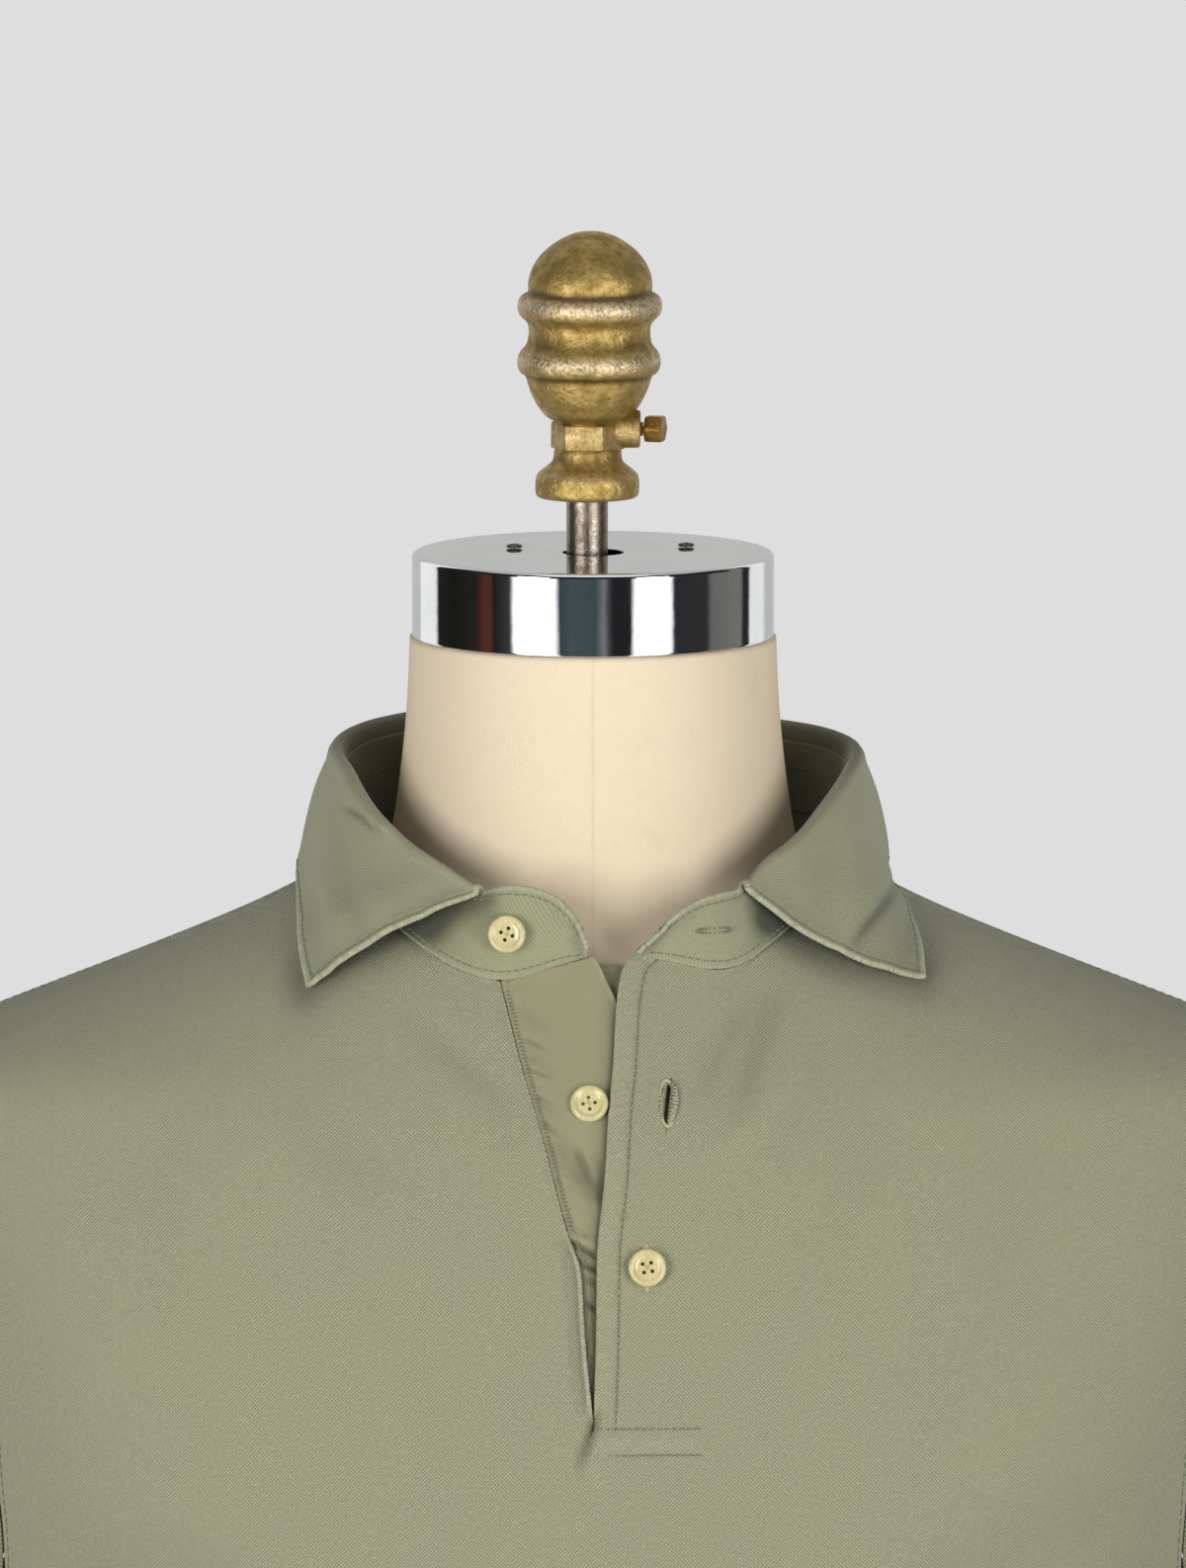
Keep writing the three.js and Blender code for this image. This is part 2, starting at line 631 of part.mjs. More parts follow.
function addSleeve(name, sign) {
  const sheet = sleeveSheet(sign);
  const start = new THREE.Vector3(sign * 200, 0, 780);
  const end = vector(CUFF.centre).setX(sign * CUFF.centre[0]);
  const middle = new THREE.Line3(start, end);
  const normals = outwardNormals(sheet, (point) => (
    middle.closestPointToPoint(point, true, new THREE.Vector3())
  ));
  addPiece(name, clothWall(sheet, normals, CLOTH), 'pique');
}

// Collar

const BAND_STEPS = 46;
const BAND_ROWS = 3;
const LEAF_STEPS = 34;
const LEAF_FALL_ROWS = 3;
const NECK_SEAM_STEPS = 500;
const BAND_SUNK = 2.2;

// The whole neck seam from the left end of the band round the back to its right end
function neckSeam() {
  const onFace = (isFront) => (row) => (
    new THREE.Vector3(row.x, depthAt(row.x, row.z, isFront), row.z + BAND_LIFT)
  );
  const onPlacket = (row) => {
    const point = onFace(true)(row);
    return point.addScaledVector(shirtNormal(point), -BAND_SUNK);
  };
  const backLeft = NECK_BACK.slice(1, -1).map((row) => ({ x: -row.x, z: row.z }));
  const stations = [
    ...PLACKET_TOP.map(onPlacket),
    ...[...NECK_LEFT].reverse().map(onFace(true)),
    ...backLeft.map(onFace(false)),
    ...[...NECK_BACK].reverse().slice(0, -1).map(onFace(false)),
    ...NECK_RIGHT.map(onFace(true)),
  ];
  return new THREE.CatmullRomCurve3(stations).getSpacedPoints(NECK_SEAM_STEPS);
}

function nearest(points, place) {
  const distance = (point) => Math.hypot(point.x - place.x, point.y - place.y);
  return points.reduce((best, point) => (distance(point) < distance(best) ? point : best));
}

function addCollarBand() {
  const neck = neckSeam();
  const plan = COLLAR.map((station) => new THREE.Vector3(station.seam[0], station.seam[1], 0));
  const seam = new THREE.CatmullRomCurve3(plan);
  const top = new THREE.CatmullRomCurve3(COLLAR.map((station) => vector(station.top)));
  const sheet = newSheet();
  const rows = Array.from({ length: BAND_ROWS + 1 }, (_, j) => (
    Array.from({ length: BAND_STEPS + 1 }, (__, i) => (
      nearest(neck, seam.getPoint(i / BAND_STEPS)).clone()
        .lerp(top.getPoint(i / BAND_STEPS), j / BAND_ROWS)
    ))
  ));
  sheet.addGrid(rows);
  const normals = outwardNormals(sheet, (point) => new THREE.Vector3(0, 0, point.z));
  const inward = normals.map((normal) => normal.clone().negate());
  addPiece('collar_band', clothWall(sheet, inward, COLLAR_CLOTH), 'pique');
}

// The leaf's section: up from the band's edge, over the roll and down to the free edge. Its points
// lie on the side that shows: towards the neck inside, outwards on the fall.
function leafSection(station) {
  const outward = station.outward;
  const width = 4.2 + (station.rise - 3) * 0.66;
  const at = (out, up) => station.top.clone().addScaledVector(outward, out * width)
    .add(new THREE.Vector3(0, 0, up * station.rise));
  const over = at(1, 0.2);
  const points = [
    station.top.clone().add(new THREE.Vector3(0, 0, LAYER_GAP)),
    at(0.04, 0.55),
    at(0.22, 0.88),
    at(0.5, 1),
    at(0.8, 0.85),
    over,
  ];
  for (let row = 1; row <= LEAF_FALL_ROWS; row += 1) {
    const share = row / LEAF_FALL_ROWS;
    const belly = 4 * share * (1 - share);
    const point = over.clone().lerp(station.edge, share);
    point.addScaledVector(outward, 1.5 * belly);
    point.z -= station.sag * belly;
    points.push(point);
  }
  return points;
}

function addCollarLeaf() {
  const stations = COLLAR.filter((station) => station.edge);
  const tops = new THREE.CatmullRomCurve3(COLLAR.map((station) => vector(station.top)));
  const firstTop = COLLAR.indexOf(stations[0]) / (COLLAR.length - 1);
  const lastTop = COLLAR.indexOf(stations.at(-1)) / (COLLAR.length - 1);
  const edges = new THREE.CatmullRomCurve3(stations.map((station) => vector(station.edge)));
  const trims = stations.map((station, i) => ({ i, rise: station.rise, sag: station.sag }));
  const rise = through(trims, 'i', 'rise');
  const sag = through(trims, 'i', 'sag');
  const sections = Array.from({ length: LEAF_STEPS + 1 }, (_, i) => {
    const share = i / LEAF_STEPS;
    const place = share * (stations.length - 1);
    const topShare = THREE.MathUtils.lerp(firstTop, lastTop, share);
    const tangent = tops.getTangent(topShare);
    return leafSection({
      top: tops.getPoint(topShare),
      edge: edges.getPoint(share),
      outward: new THREE.Vector3(-tangent.y, tangent.x, 0).normalize(),
      rise: rise(place),
      sag: sag(place),
    });
  });
  const sheet = newSheet();
  sheet.addGrid(sections[0].map((_, j) => sections.map((section) => section[j])));
  const normals = sheetNormals(sheet);
  addPiece('collar_leaf', clothWall(sheet, normals, COLLAR_CLOTH), 'pique');
}

// Under placket

const TUCK = 4;
const PLACKET_COLUMNS = 6;
const PLACKET_ROWS = 16;

// A strip that hangs behind the slit, from the band seam to just below the slit's end
function addUnderPlacket() {
  const left = through(SLIT_LEFT, 'z', 'x');
  const right = through(UNDER_EDGE, 'z', 'x');
  const topLeft = SLIT_LEFT.at(-1).z - LAYER_GAP;
  const topRight = UNDER_EDGE.at(-1).z - 2 * LAYER_GAP;
  const bottom = SLIT_BOTTOM - 6;
  const sheet = newSheet();
  sheet.addGrid(Array.from({ length: PLACKET_ROWS + 1 }, (_, j) => (
    Array.from({ length: PLACKET_COLUMNS + 1 }, (__, i) => {
      const across = i / PLACKET_COLUMNS;
      const top = THREE.MathUtils.lerp(topLeft, topRight, across);
      const z = THREE.MathUtils.lerp(top, bottom, j / PLACKET_ROWS);
      const x = THREE.MathUtils.lerp(left(z) - TUCK, right(z), across);
      return new THREE.Vector3(x, depthAt(x, z, true), z);
    })
  )));
  const normals = sheet.points.map(shirtNormal);
  sheet.points.forEach((point, i) => point.addScaledVector(normals[i], -(CLOTH + LAYER_GAP)));
  addPiece('placket_under', clothWall(sheet, normals, CLOTH), 'placketCloth');
}

// Buttons

const BUTTON_SEGMENTS = 20;
const HOLE_RADIUS = 0.65;
const HOLE_SPREAD = 1.25;

// A four-hole button with a raised rim, its back at height 0
function buttonGeometry() {
  const r = BUTTON_RADIUS;
  const h = BUTTON_THICKNESS;
  const disc = turned([
    [0, 0], [r - 1.1, 0], [r, h * 0.45], [r - 0.1, h * 0.8], [r - 0.8, h],
    [r - 1.7, h * 0.92], [r - 2.5, h * 0.68], [0, h * 0.64],
  ], BUTTON_SEGMENTS);
  let solid = toManifold(disc);
  for (const [x, y] of [[1, 1], [1, -1], [-1, 1], [-1, -1]]) {
    const hole = new THREE.CylinderGeometry(HOLE_RADIUS, HOLE_RADIUS, h * 3, 8).rotateX(Math.PI / 2);
    hole.translate(x * HOLE_SPREAD, y * HOLE_SPREAD, 0);
    solid = solid.subtract(toManifold(hole));
  }
  return fromManifold(solid);
}

// Buttons lie flat on the cloth they are sewn to. depth is that cloth's distance behind the face.
const BUTTONS = [
  { name: 'button_placket_under', x: -1.2, z: 861, depth: CLOTH + LAYER_GAP, turn: 0.2 },
  { name: 'button_placket_over', x: 16.6, z: 810, depth: 0, turn: 0.1 },
];
const BAND_BUTTON = { name: 'button_band', place: [-26.5, -80.6, 911.2], face: [-0.1, -0.99, 0.12] };

function placeButton(name, place, face, turn) {
  const button = addPiece(name, buttonGeometry(), 'shell');
  button.quaternion.setFromUnitVectors(new THREE.Vector3(0, 0, 1), face);
  button.rotateZ(turn);
  button.position.copy(place);
}

function addButtons() {
  for (const row of BUTTONS) {
    const point = new THREE.Vector3(row.x, depthAt(row.x, row.z, true), row.z);
    const face = shirtNormal(point);
    point.addScaledVector(face, 0.5 - row.depth);
    placeButton(row.name, point, face, row.turn);
  }
  const face = vector(BAND_BUTTON.face).normalize();
  placeButton(BAND_BUTTON.name, vector(BAND_BUTTON.place), face, 0.1);
}

// Dress form

const FORM_ROUND = 36;

function formSections() {
  const heights = [
    TORSO_BOTTOM, 240, 300, 360, 420, 480, 540, 600, 660, 710, 750, 785, 812, 832, 846, 856, 864,
    871, 878, 885, 892, 899, 905, 911, 918, 926,
  ];
  const fitted = heights.map((z) => ({
    z: z - 1,
    half: shirtHalf(z) - sideRoom(z),
    front: shirtFront(z) - frontRoom(z),
    back: shirtBack(z) - backRoom(z),
    power: shirtPower(z),
  }));
  fitted[0].z = TORSO_BOTTOM;
  return fitted.concat(NECK_SECTIONS.map((row) => ({ ...row, power: 2 })));
}

function addTorso() {
  const sections = formSections();
  const sheet = newSheet();
  const loop = (row, shrink) => Array.from({ length: FORM_ROUND + 1 }, (_, i) => {
    const angle = (i % FORM_ROUND) * ((2 * Math.PI) / FORM_ROUND);
    return aroundSection(
      angle, row.half * shrink, row.front * shrink, row.back * shrink, row.power, row.z,
    );
  });
  const first = sections[0];
  const last = sections.at(-1);
  sheet.addGrid([loop(first, 0), ...sections.map((row) => loop(row, 1)), loop(last, 0)]);
  addPiece('form_torso', closedGeometry(sheet.points, sheet.triangles), 'canvas');
}

function addNeckCap() {
  const top = CAP_TOP;
  const bottom = CAP_TOP - CAP_HEIGHT;
  const e = CAP_EDGE;
  const profile = [
    [CAP_HOLE, bottom], [CAP_RADIUS - 0.6, bottom], [CAP_RADIUS, bottom + 0.6],
    [CAP_RADIUS, top - e], [CAP_RADIUS - e * 0.13, top - e * 0.5],
    [CAP_RADIUS - e * 0.5, top - e * 0.13], [CAP_RADIUS - e, top],
    [CAP_HOLE, top], [CAP_HOLE, bottom],
  ];
  addPiece('neck_cap', turned(profile, 48), 'chrome');
}

const CAP_SCREWS = [
  { name: 'cap_screw_left', x: -24.5, y: 10 },
  { name: 'cap_screw_right', x: 29, y: 13 },
];

function addCapScrews() {
  for (const row of CAP_SCREWS) {
    const head = turned([[0, 0], [2.6, 0], [2.4, 0.5], [1.4, 0.9], [0, 1]], 12);
    const screw = addPiece(row.name, head, 'steel');
    screw.position.set(row.x, row.y, CAP_TOP + FACE_GAP);
  }
}

// Finial: [radius, height above the cap] pairs of its outside, from the foot up
const FINIAL_FOOT = 17.4;
const FINIAL_BORE = ROD_RADIUS + 0.35;
const FINIAL_BORE_TOP = 48;
const FINIAL_OUTSIDE = [
  [15, FINIAL_FOOT], [16, 18.6], [16.1, 22.5], [15, 24.6], [12, 26], [11.3, 28], [11.9, 31.5],
  [12.3, 33], [12.3, 41.5], [13.2, 43.5], [15.8, 48], [18.4, 52], [20.4, 55.2], [22, 57], [22.3, 59.2],
  [21.6, 61.8], [19.8, 64.6], [19.1, 68], [19.5, 71.6], [21.4, 74], [22.3, 76.8], [21.6, 79.2],
  [19.6, 80.6], [19.5, 83], [18.8, 88], [16.6, 93], [12.8, 97.4], [7.4, 100.3], [0, 101.2],
];
const BOSS = { height: 38.6, radius: 5.9, reach: 16.2 };
const SCREW = { radius: 2, head: 4.5, headStart: 16.6, headEnd: 23.8 };

function alongX(radius, from, to, sides) {
  const length = to - from;
  return new THREE.CylinderGeometry(radius, radius, length, sides)
    .rotateZ(Math.PI / 2)
    .translate((from + to) / 2, 0, CAP_TOP + BOSS.height);
}

function addFinial() {
  const bore = [[0, FINIAL_BORE_TOP], [FINIAL_BORE, FINIAL_BORE_TOP], [FINIAL_BORE, FINIAL_FOOT]];
  const profile = bore.concat(FINIAL_OUTSIDE).map(([radius, height]) => [radius, height + CAP_TOP]);
  const hexagon = new THREE.CylinderGeometry(13.6, 13.6, 8.4, 6).rotateX(Math.PI / 2)
    .translate(0, 0, CAP_TOP + 37.2);
  const boreCut = new THREE.CylinderGeometry(FINIAL_BORE, FINIAL_BORE, 26, 32).rotateX(Math.PI / 2)
    .translate(0, 0, CAP_TOP + 35);
  const solid = toManifold(turned(profile, 24))
    .add(toManifold(hexagon))
    .add(toManifold(alongX(BOSS.radius, 9, BOSS.reach, 16)))
    .subtract(toManifold(boreCut))
    .subtract(toManifold(alongX(SCREW.radius + 0.3, 3, BOSS.reach + 1, 12)));
  addPiece('finial', fromManifold(solid), 'brass');
}

function addSetScrew() {
  const shank = alongX(SCREW.radius, ROD_RADIUS + 0.4, SCREW.headStart + 0.5, 12);
  const head = alongX(SCREW.head, SCREW.headStart, SCREW.headEnd, 6);
  addPiece('set_screw', fromManifold(toManifold(shank).add(toManifold(head))), 'brass');
}

function addRod() {
  const bottom = CAP_TOP - CAP_HEIGHT;
  const top = CAP_TOP + FINIAL_BORE_TOP - FACE_GAP;
  addPiece('rod', turned([[0, bottom], [ROD_RADIUS, bottom], [ROD_RADIUS, top], [0, top]], 28), 'steel');
}

function addStand() {
  const shoulder = BASE_HEIGHT + BOSS_HEIGHT;
  const base = turned([
    [0, 0], [BASE_RADIUS - 1, 0], [BASE_RADIUS, 1], [BASE_RADIUS, BASE_HEIGHT - 5],
    [BASE_RADIUS - 2, BASE_HEIGHT - 1.6], [BASE_RADIUS - 6, BASE_HEIGHT],
    [BOSS_RADIUS + 6, BASE_HEIGHT], [BOSS_RADIUS, BASE_HEIGHT + 6], [BOSS_RADIUS - 4, shoulder - 3],
    [BOSS_RADIUS - 7, shoulder], [0, shoulder],
  ], 48);
  addPiece('base', base, 'darkPaint');
  const from = shoulder + FACE_GAP;
  const to = TORSO_BOTTOM - FACE_GAP;
  addPiece('pole', turned([[0, from], [POLE_RADIUS, from], [POLE_RADIUS, to], [0, to]], 32), 'steel');
}

addFrontPanel();
addBackPanel();
addSleeve('sleeve_left', -1);
addSleeve('sleeve_right', 1);
addCollarBand();
addCollarLeaf();
addUnderPlacket();
addButtons();
addTorso();
addNeckCap();
addCapScrews();
addRod();
addFinial();
addSetScrew();
addStand();

export default part;
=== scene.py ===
import math

import bpy
import numpy as np
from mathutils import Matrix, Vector


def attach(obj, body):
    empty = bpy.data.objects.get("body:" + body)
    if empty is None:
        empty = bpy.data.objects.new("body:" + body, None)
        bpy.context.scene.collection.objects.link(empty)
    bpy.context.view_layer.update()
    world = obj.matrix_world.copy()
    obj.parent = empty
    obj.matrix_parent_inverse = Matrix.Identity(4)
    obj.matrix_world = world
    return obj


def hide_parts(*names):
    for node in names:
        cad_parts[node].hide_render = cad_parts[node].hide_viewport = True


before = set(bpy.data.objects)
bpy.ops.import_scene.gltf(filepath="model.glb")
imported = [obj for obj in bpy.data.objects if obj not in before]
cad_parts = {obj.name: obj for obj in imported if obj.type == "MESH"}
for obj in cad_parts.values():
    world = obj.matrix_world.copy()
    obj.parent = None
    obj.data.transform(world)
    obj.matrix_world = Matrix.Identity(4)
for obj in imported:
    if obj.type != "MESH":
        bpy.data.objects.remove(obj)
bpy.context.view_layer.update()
mm = 0.001  # every table below is in millimetres, the scene is in metres
print("frame loaded:", len(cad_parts), "nodes")


# curves and tables

def table(columns, rows):
    names = columns.split()
    return [dict(zip(names, row)) for row in rows]


def smoothThrough(rows, along, column):
    # a smooth curve through one column of a table, read at places of another column
    places = np.array([row[along] for row in rows], float)
    values = np.array([row[column] for row in rows], float)
    steps = np.diff(values) / np.diff(places)
    product, total = steps[:-1] * steps[1:], steps[:-1] + steps[1:]
    middle = np.where(product > 0, 2 * product / np.where(total == 0, 1, total), 0)
    slopes = np.concatenate([steps[:1], middle, steps[-1:]])

    def curve(place):
        inside = np.clip(place, places[0], places[-1])
        i = np.clip(np.searchsorted(places, inside) - 1, 0, len(steps) - 1)
        width = places[i + 1] - places[i]
        t = (inside - places[i]) / width
        stay = (1 + 2 * t) * (1 - t) ** 2
        return (stay * values[i] + (1 - stay) * values[i + 1]
                + t * (1 - t) ** 2 * width * slopes[i] + t ** 2 * (t - 1) * width * slopes[i + 1])
    return curve


def lineThrough(stations):
    # a smooth line through stations, read at shares from 0 to 1
    p = np.array(stations, float)
    p = np.vstack([2 * p[0] - p[1], p, 2 * p[-1] - p[-2]])
    gaps = np.maximum(np.linalg.norm(np.diff(p, axis=0), axis=1) ** 0.5, 1e-4)

    def line(shares):
        place = np.clip(np.atleast_1d(np.asarray(shares, float)), 0, 1) * (len(p) - 3)
        i = np.minimum(place.astype(int), len(p) - 4)
        t = (place - i)[:, None]
        a, b, c, d = p[i], p[i + 1], p[i + 2], p[i + 3]
        g, h, k = gaps[i][:, None], gaps[i + 1][:, None], gaps[i + 2][:, None]
        leave = ((b - a) / g - (c - a) / (g + h) + (c - b) / h) * h
        arrive = ((c - b) / h - (d - b) / (h + k) + (d - c) / k) * h
        return (b + leave * t + (3 * (c - b) - 2 * leave - arrive) * t ** 2
                + (2 * (b - c) + leave + arrive) * t ** 3)
    return line


def runLengths(points, axis=0):
    # how far each point lies along its line
    steps = np.linalg.norm(np.diff(points, axis=axis), axis=-1)
    return np.cumsum(np.insert(steps, 0, 0, axis=axis), axis=axis)


def evenPoints(line, shares, samples=900):
    # points of a line at shares of its length
    fine = line(np.linspace(0, 1, samples))
    length = runLengths(fine)
    wanted = np.clip(shares, 0, 1) * length[-1]
    return np.stack([np.interp(wanted, length, fine[:, k]) for k in range(fine.shape[1])], axis=1)


def unit(v):
    return v / np.maximum(np.linalg.norm(v, axis=-1, keepdims=True), 1e-9)


def bump(distance, width):
    return np.exp(-(distance / width) ** 2)


def ease(value, low, high):
    t = np.clip((value - low) / (high - low), 0, 1)
    return t * t * (3 - 2 * t)


def wander(x, seed, octaves=3):
    # a soft uneven line, the same each time
    total = 0.0
    for k in range(octaves):
        turn = seed * (1.7 + k) + 2.399 * k
        total = total + np.sin(x * (1.0 + 0.83 * k) + turn) / (1 + k)
    return total / 1.8


# the shirt's sections

shirtSections = table("z half front back power", [
    (190, 189, 122, 129, 2.35), (216, 189, 122, 129, 2.35), (300, 187, 120, 127, 2.35),
    (400, 184, 118, 121, 2.35), (480, 182, 118, 116, 2.35), (560, 183, 121, 117, 2.35),
    (640, 187, 125, 121, 2.35), (682, 190, 126.5, 124, 2.35), (707, 192, 126, 125, 2.3),
    (728, 195, 125, 126, 2.25), (760, 203, 122, 125, 2.15), (800, 214, 116, 121, 2.0),
    (830, 222, 109, 114, 1.9), (850, 225, 103, 108, 1.8), (863, 222, 98, 103, 1.75),
    (870.5, 205, 94.5, 99.5, 1.7), (878.5, 185, 91, 96, 1.7), (890, 155, 85.5, 90, 1.72),
    (897, 137, 82, 86.5, 1.73), (903, 122, 79, 83, 1.75), (908.4, 109, 76, 80, 1.78),
    (916.5, 92, 72, 76, 1.9), (926, 76, 66, 70, 2.0), (936, 68, 63, 65, 2.0)])

sectionLevels = np.arange(190, 936.1, 0.5)


def softSection(column, reach=11.0):
    # the section table eased across the shoulder, so that the cloth rounds over it
    curve = smoothThrough(shirtSections, "z", column)
    spread = 2 + reach * bump(sectionLevels - 862, 34)
    soft = sum(curve(sectionLevels + spread * k / 6) * (7 - abs(k)) for k in range(-6, 7)) / 49
    return lambda z: np.interp(z, sectionLevels, soft)


shirtHalf, shirtFront, shirtBack, shirtPower = (
    softSection(column) for column in ("half", "front", "back", "power"))


def shirtSection(z):
    return shirtHalf(z), shirtFront(z), shirtBack(z), shirtPower(z)


def shirtDepth(z, isFront):
    return np.where(isFront, shirtFront(z), shirtBack(z))


def depthAt(x, z, isFront):
    power = shirtPower(z)
    share = np.minimum(np.abs(x) / shirtHalf(z), 1)
    depth = shirtDepth(z, isFront) * (1 - share ** power) ** (1 / power)
    return np.where(isFront, -depth, depth)


def widthAt(y, z):
    power = shirtPower(z)
    share = np.minimum(np.abs(y) / shirtDepth(z, y < 0), 1)
    return shirtHalf(z) * (1 - share ** power) ** (1 / power)


def aroundSection(angle, half, front, back, power):
    across, along = np.sin(angle), np.cos(angle)
    x = half * np.sign(across) * np.abs(across) ** (2 / power)
    y = -np.where(along > 0, front, back) * np.sign(along) * np.abs(along) ** (2 / power)
    return x, y


def faceNormals(points):
    # outward direction of the shirt's face at points on it
    def inside(spots):
        x, y, z = np.moveaxis(spots, -1, 0)
        power = shirtPower(z)
        return (np.abs(x) / shirtHalf(z)) ** power + (np.abs(y) / shirtDepth(z, y < 0)) ** power
    return unit(np.stack([inside(points + step) - inside(points - step) for step in 0.05 * np.eye(3)],
                         axis=-1))


def readTable(values, rowPlaces, columnPlaces, rows, columns):
    # a value between the entries of a regular table
    r = np.clip((rows - rowPlaces[0]) / (rowPlaces[1] - rowPlaces[0]), 0, len(rowPlaces) - 1.001)
    c = np.clip((columns - columnPlaces[0]) / (columnPlaces[1] - columnPlaces[0]), 0,
                len(columnPlaces) - 1.001)
    i, j = r.astype(int), c.astype(int)
    a, b = r - i, c - j
    return ((1 - a) * (1 - b) * values[i, j] + (1 - a) * b * values[i, j + 1]
            + a * (1 - b) * values[i + 1, j] + a * b * values[i + 1, j + 1])


clothLevels, clothShares = np.linspace(200, 800, 61), np.linspace(0, 1, 201)
slopeWidths, slopeLevels = np.linspace(0, 225, 76), np.linspace(800, 930, 131)


def clothTables(isFront):
    # how far cloth runs sideways from the middle, and up from the chest
    sideways = []
    for z in clothLevels:
        x, y = aroundSection(np.linspace(0, math.pi / 2, 500), *shirtSection(z))
        sideways.append(np.interp(clothShares, x / shirtHalf(z), runLengths(np.stack([x, y], axis=1))))
    x, z = np.meshgrid(slopeWidths, slopeLevels)
    return np.array(sideways), runLengths(np.stack([z, depthAt(x, z, isFront)], axis=-1))


def clothPlaces(x, z, isFront, tables):
    # knit coordinates: columns of stitches hang straight down, rows run level
    sideways, upward = tables
    low = np.minimum(z, 800)
    half = shirtHalf(low)
    u = readTable(sideways, clothLevels, clothShares, low, np.minimum(np.abs(x) / half, 1))
    u = (u + 2 * np.maximum(np.abs(x) - half, 0)) * np.sign(x)
    v = readTable(upward, slopeLevels, slopeWidths, np.maximum(z, 800), np.abs(x))
    return np.stack([u, v + (low - 800) * 1.02], axis=-1)


hangingFolds = table("angle spread depth start lean", [
    (-74, 8, 13, 655, 5), (-47, 9, 8, 600, 3), (-17, 8, 10, 560, -3), (21, 10, 11, 610, 2),
    (52, 8, 8, 570, -4), (78, 9, 14, 660, -5), (104, 8, 11, 640, 5), (131, 9, 13, 690, 3),
    (158, 10, 10, 640, -2), (187, 9, 13, 670, 3), (214, 8, 10, 630, 4), (238, 9, 14, 680, -3),
    (262, 8, 10, 640, -5)])


def foldDepth(angle, z):
    depth = 0.0
    for fold in hangingFolds:
        fallen = np.clip((fold["start"] - z) / (fold["start"] - bodyCut["hem"]), 0, 1)
        turn = np.degrees(angle) - (fold["angle"] + fold["lean"] * fallen)
        turn = turn - 360 * np.round(turn / 360)
        depth = depth + fold["depth"] * fallen ** 1.3 * bump(turn, fold["spread"])
    return depth


# cloth making

def gridFaces(rows, columns, start=0):
    index = np.arange(rows * columns).reshape(rows, columns) + start
    a, b = index[:-1, :-1].ravel(), index[:-1, 1:].ravel()
    c, d = index[1:, 1:].ravel(), index[1:, :-1].ravel()
    return np.stack([a, d, c, b], axis=1)


def tubeFaces(index):
    # faces of a tube from its table of point numbers, a row for each ring
    after = np.roll(index, -1, axis=1)
    return np.stack([index[:-1], after[:-1], after[1:], index[1:]], axis=-1).reshape(-1, 4)


def vertexNormals(points, quads):
    across = np.cross(points[quads[:, 2]] - points[quads[:, 0]],
                      points[quads[:, 3]] - points[quads[:, 1]])
    normals = np.zeros_like(points)
    for k in range(4):
        np.add.at(normals, quads[:, k], across)
    return unit(normals)


def clothShell(name, points, quads, uv, wear, thickness, edgeRows=3, bulge=0.9, rimWear=0.5,
               insideShade=0.55, wrap=None, pucker=None):
    # outer face, inner face and a rounded edge between them, as one closed thin shell
    normals = vertexNormals(points, quads)
    count = len(points)
    inner = points - normals * thickness
    starts, ends = quads.ravel(), np.roll(quads, -1, axis=1).ravel()
    keys = starts.astype(np.int64) * count + ends
    twins = ends.astype(np.int64) * count + starts
    free = ~np.isin(keys, twins)
    freeStarts, freeEnds = starts[free], ends[free]
    edge = np.unique(np.concatenate([freeStarts, freeEnds]))
    out = np.zeros((count, 3))
    step = points[freeEnds] - points[freeStarts]
    away = unit(np.cross(step, normals[freeStarts]))
    np.add.at(out, freeStarts, away)
    np.add.at(out, freeEnds, away)
    out = unit(out)[edge]
    rim, rimIndex = [], [edge]
    for row in range(1, edgeRows + 1):
        turn = math.pi * row / (edgeRows + 1)
        rim.append(points[edge] + thickness / 2 * (normals[edge] * (math.cos(turn) - 1)
                                                   + out * bulge * math.sin(turn)))
        rimIndex.append(2 * count + (row - 1) * len(edge) + np.arange(len(edge)))
    rimIndex.append(edge + count)
    faces = [quads, quads[:, ::-1] + count]
    a, b = np.searchsorted(edge, freeStarts), np.searchsorted(edge, freeEnds)
    for low, high in zip(rimIndex[:-1], rimIndex[1:]):
        faces.append(np.stack([low[b], low[a], high[a], high[b]], axis=1))
    allPoints = np.vstack([points, inner] + rim)
    allUv = np.vstack([uv, uv] + [uv[edge]] * edgeRows)
    # painted shade over the whole inner face; the rounded edge rows take the edge value, paler for rubbing
    # and painted shade when it is negative
    inside = np.full(count, -insideShade)
    inside[edge] = 0
    allWearAndShading = np.concatenate([wear, inside] + [np.full(len(edge), rimWear)] * edgeRows)
    pulled = np.zeros(count) if pucker is None else pucker
    allPucker = np.concatenate([pulled, pulled * 0] + [pulled[edge]] * edgeRows)
    return meshPiece(name, allPoints, np.vstack(faces), allUv, allWearAndShading, wrap, allPucker)


def linkMesh(name, points, faces):
    mesh = bpy.data.meshes.new(name)
    mesh.from_pydata((np.asarray(points) * mm).tolist(), [], faces)
    mesh.update()
    mesh.polygons.foreach_set("use_smooth", np.ones(len(mesh.polygons), bool))
    piece = bpy.data.objects.new(name, mesh)
    bpy.context.scene.collection.objects.link(piece)
    return piece


def setPointValues(piece, name, values):
    made = piece.data.attributes.new(name, "FLOAT", "POINT")
    made.data.foreach_set("value", np.asarray(values, np.float32).ravel())


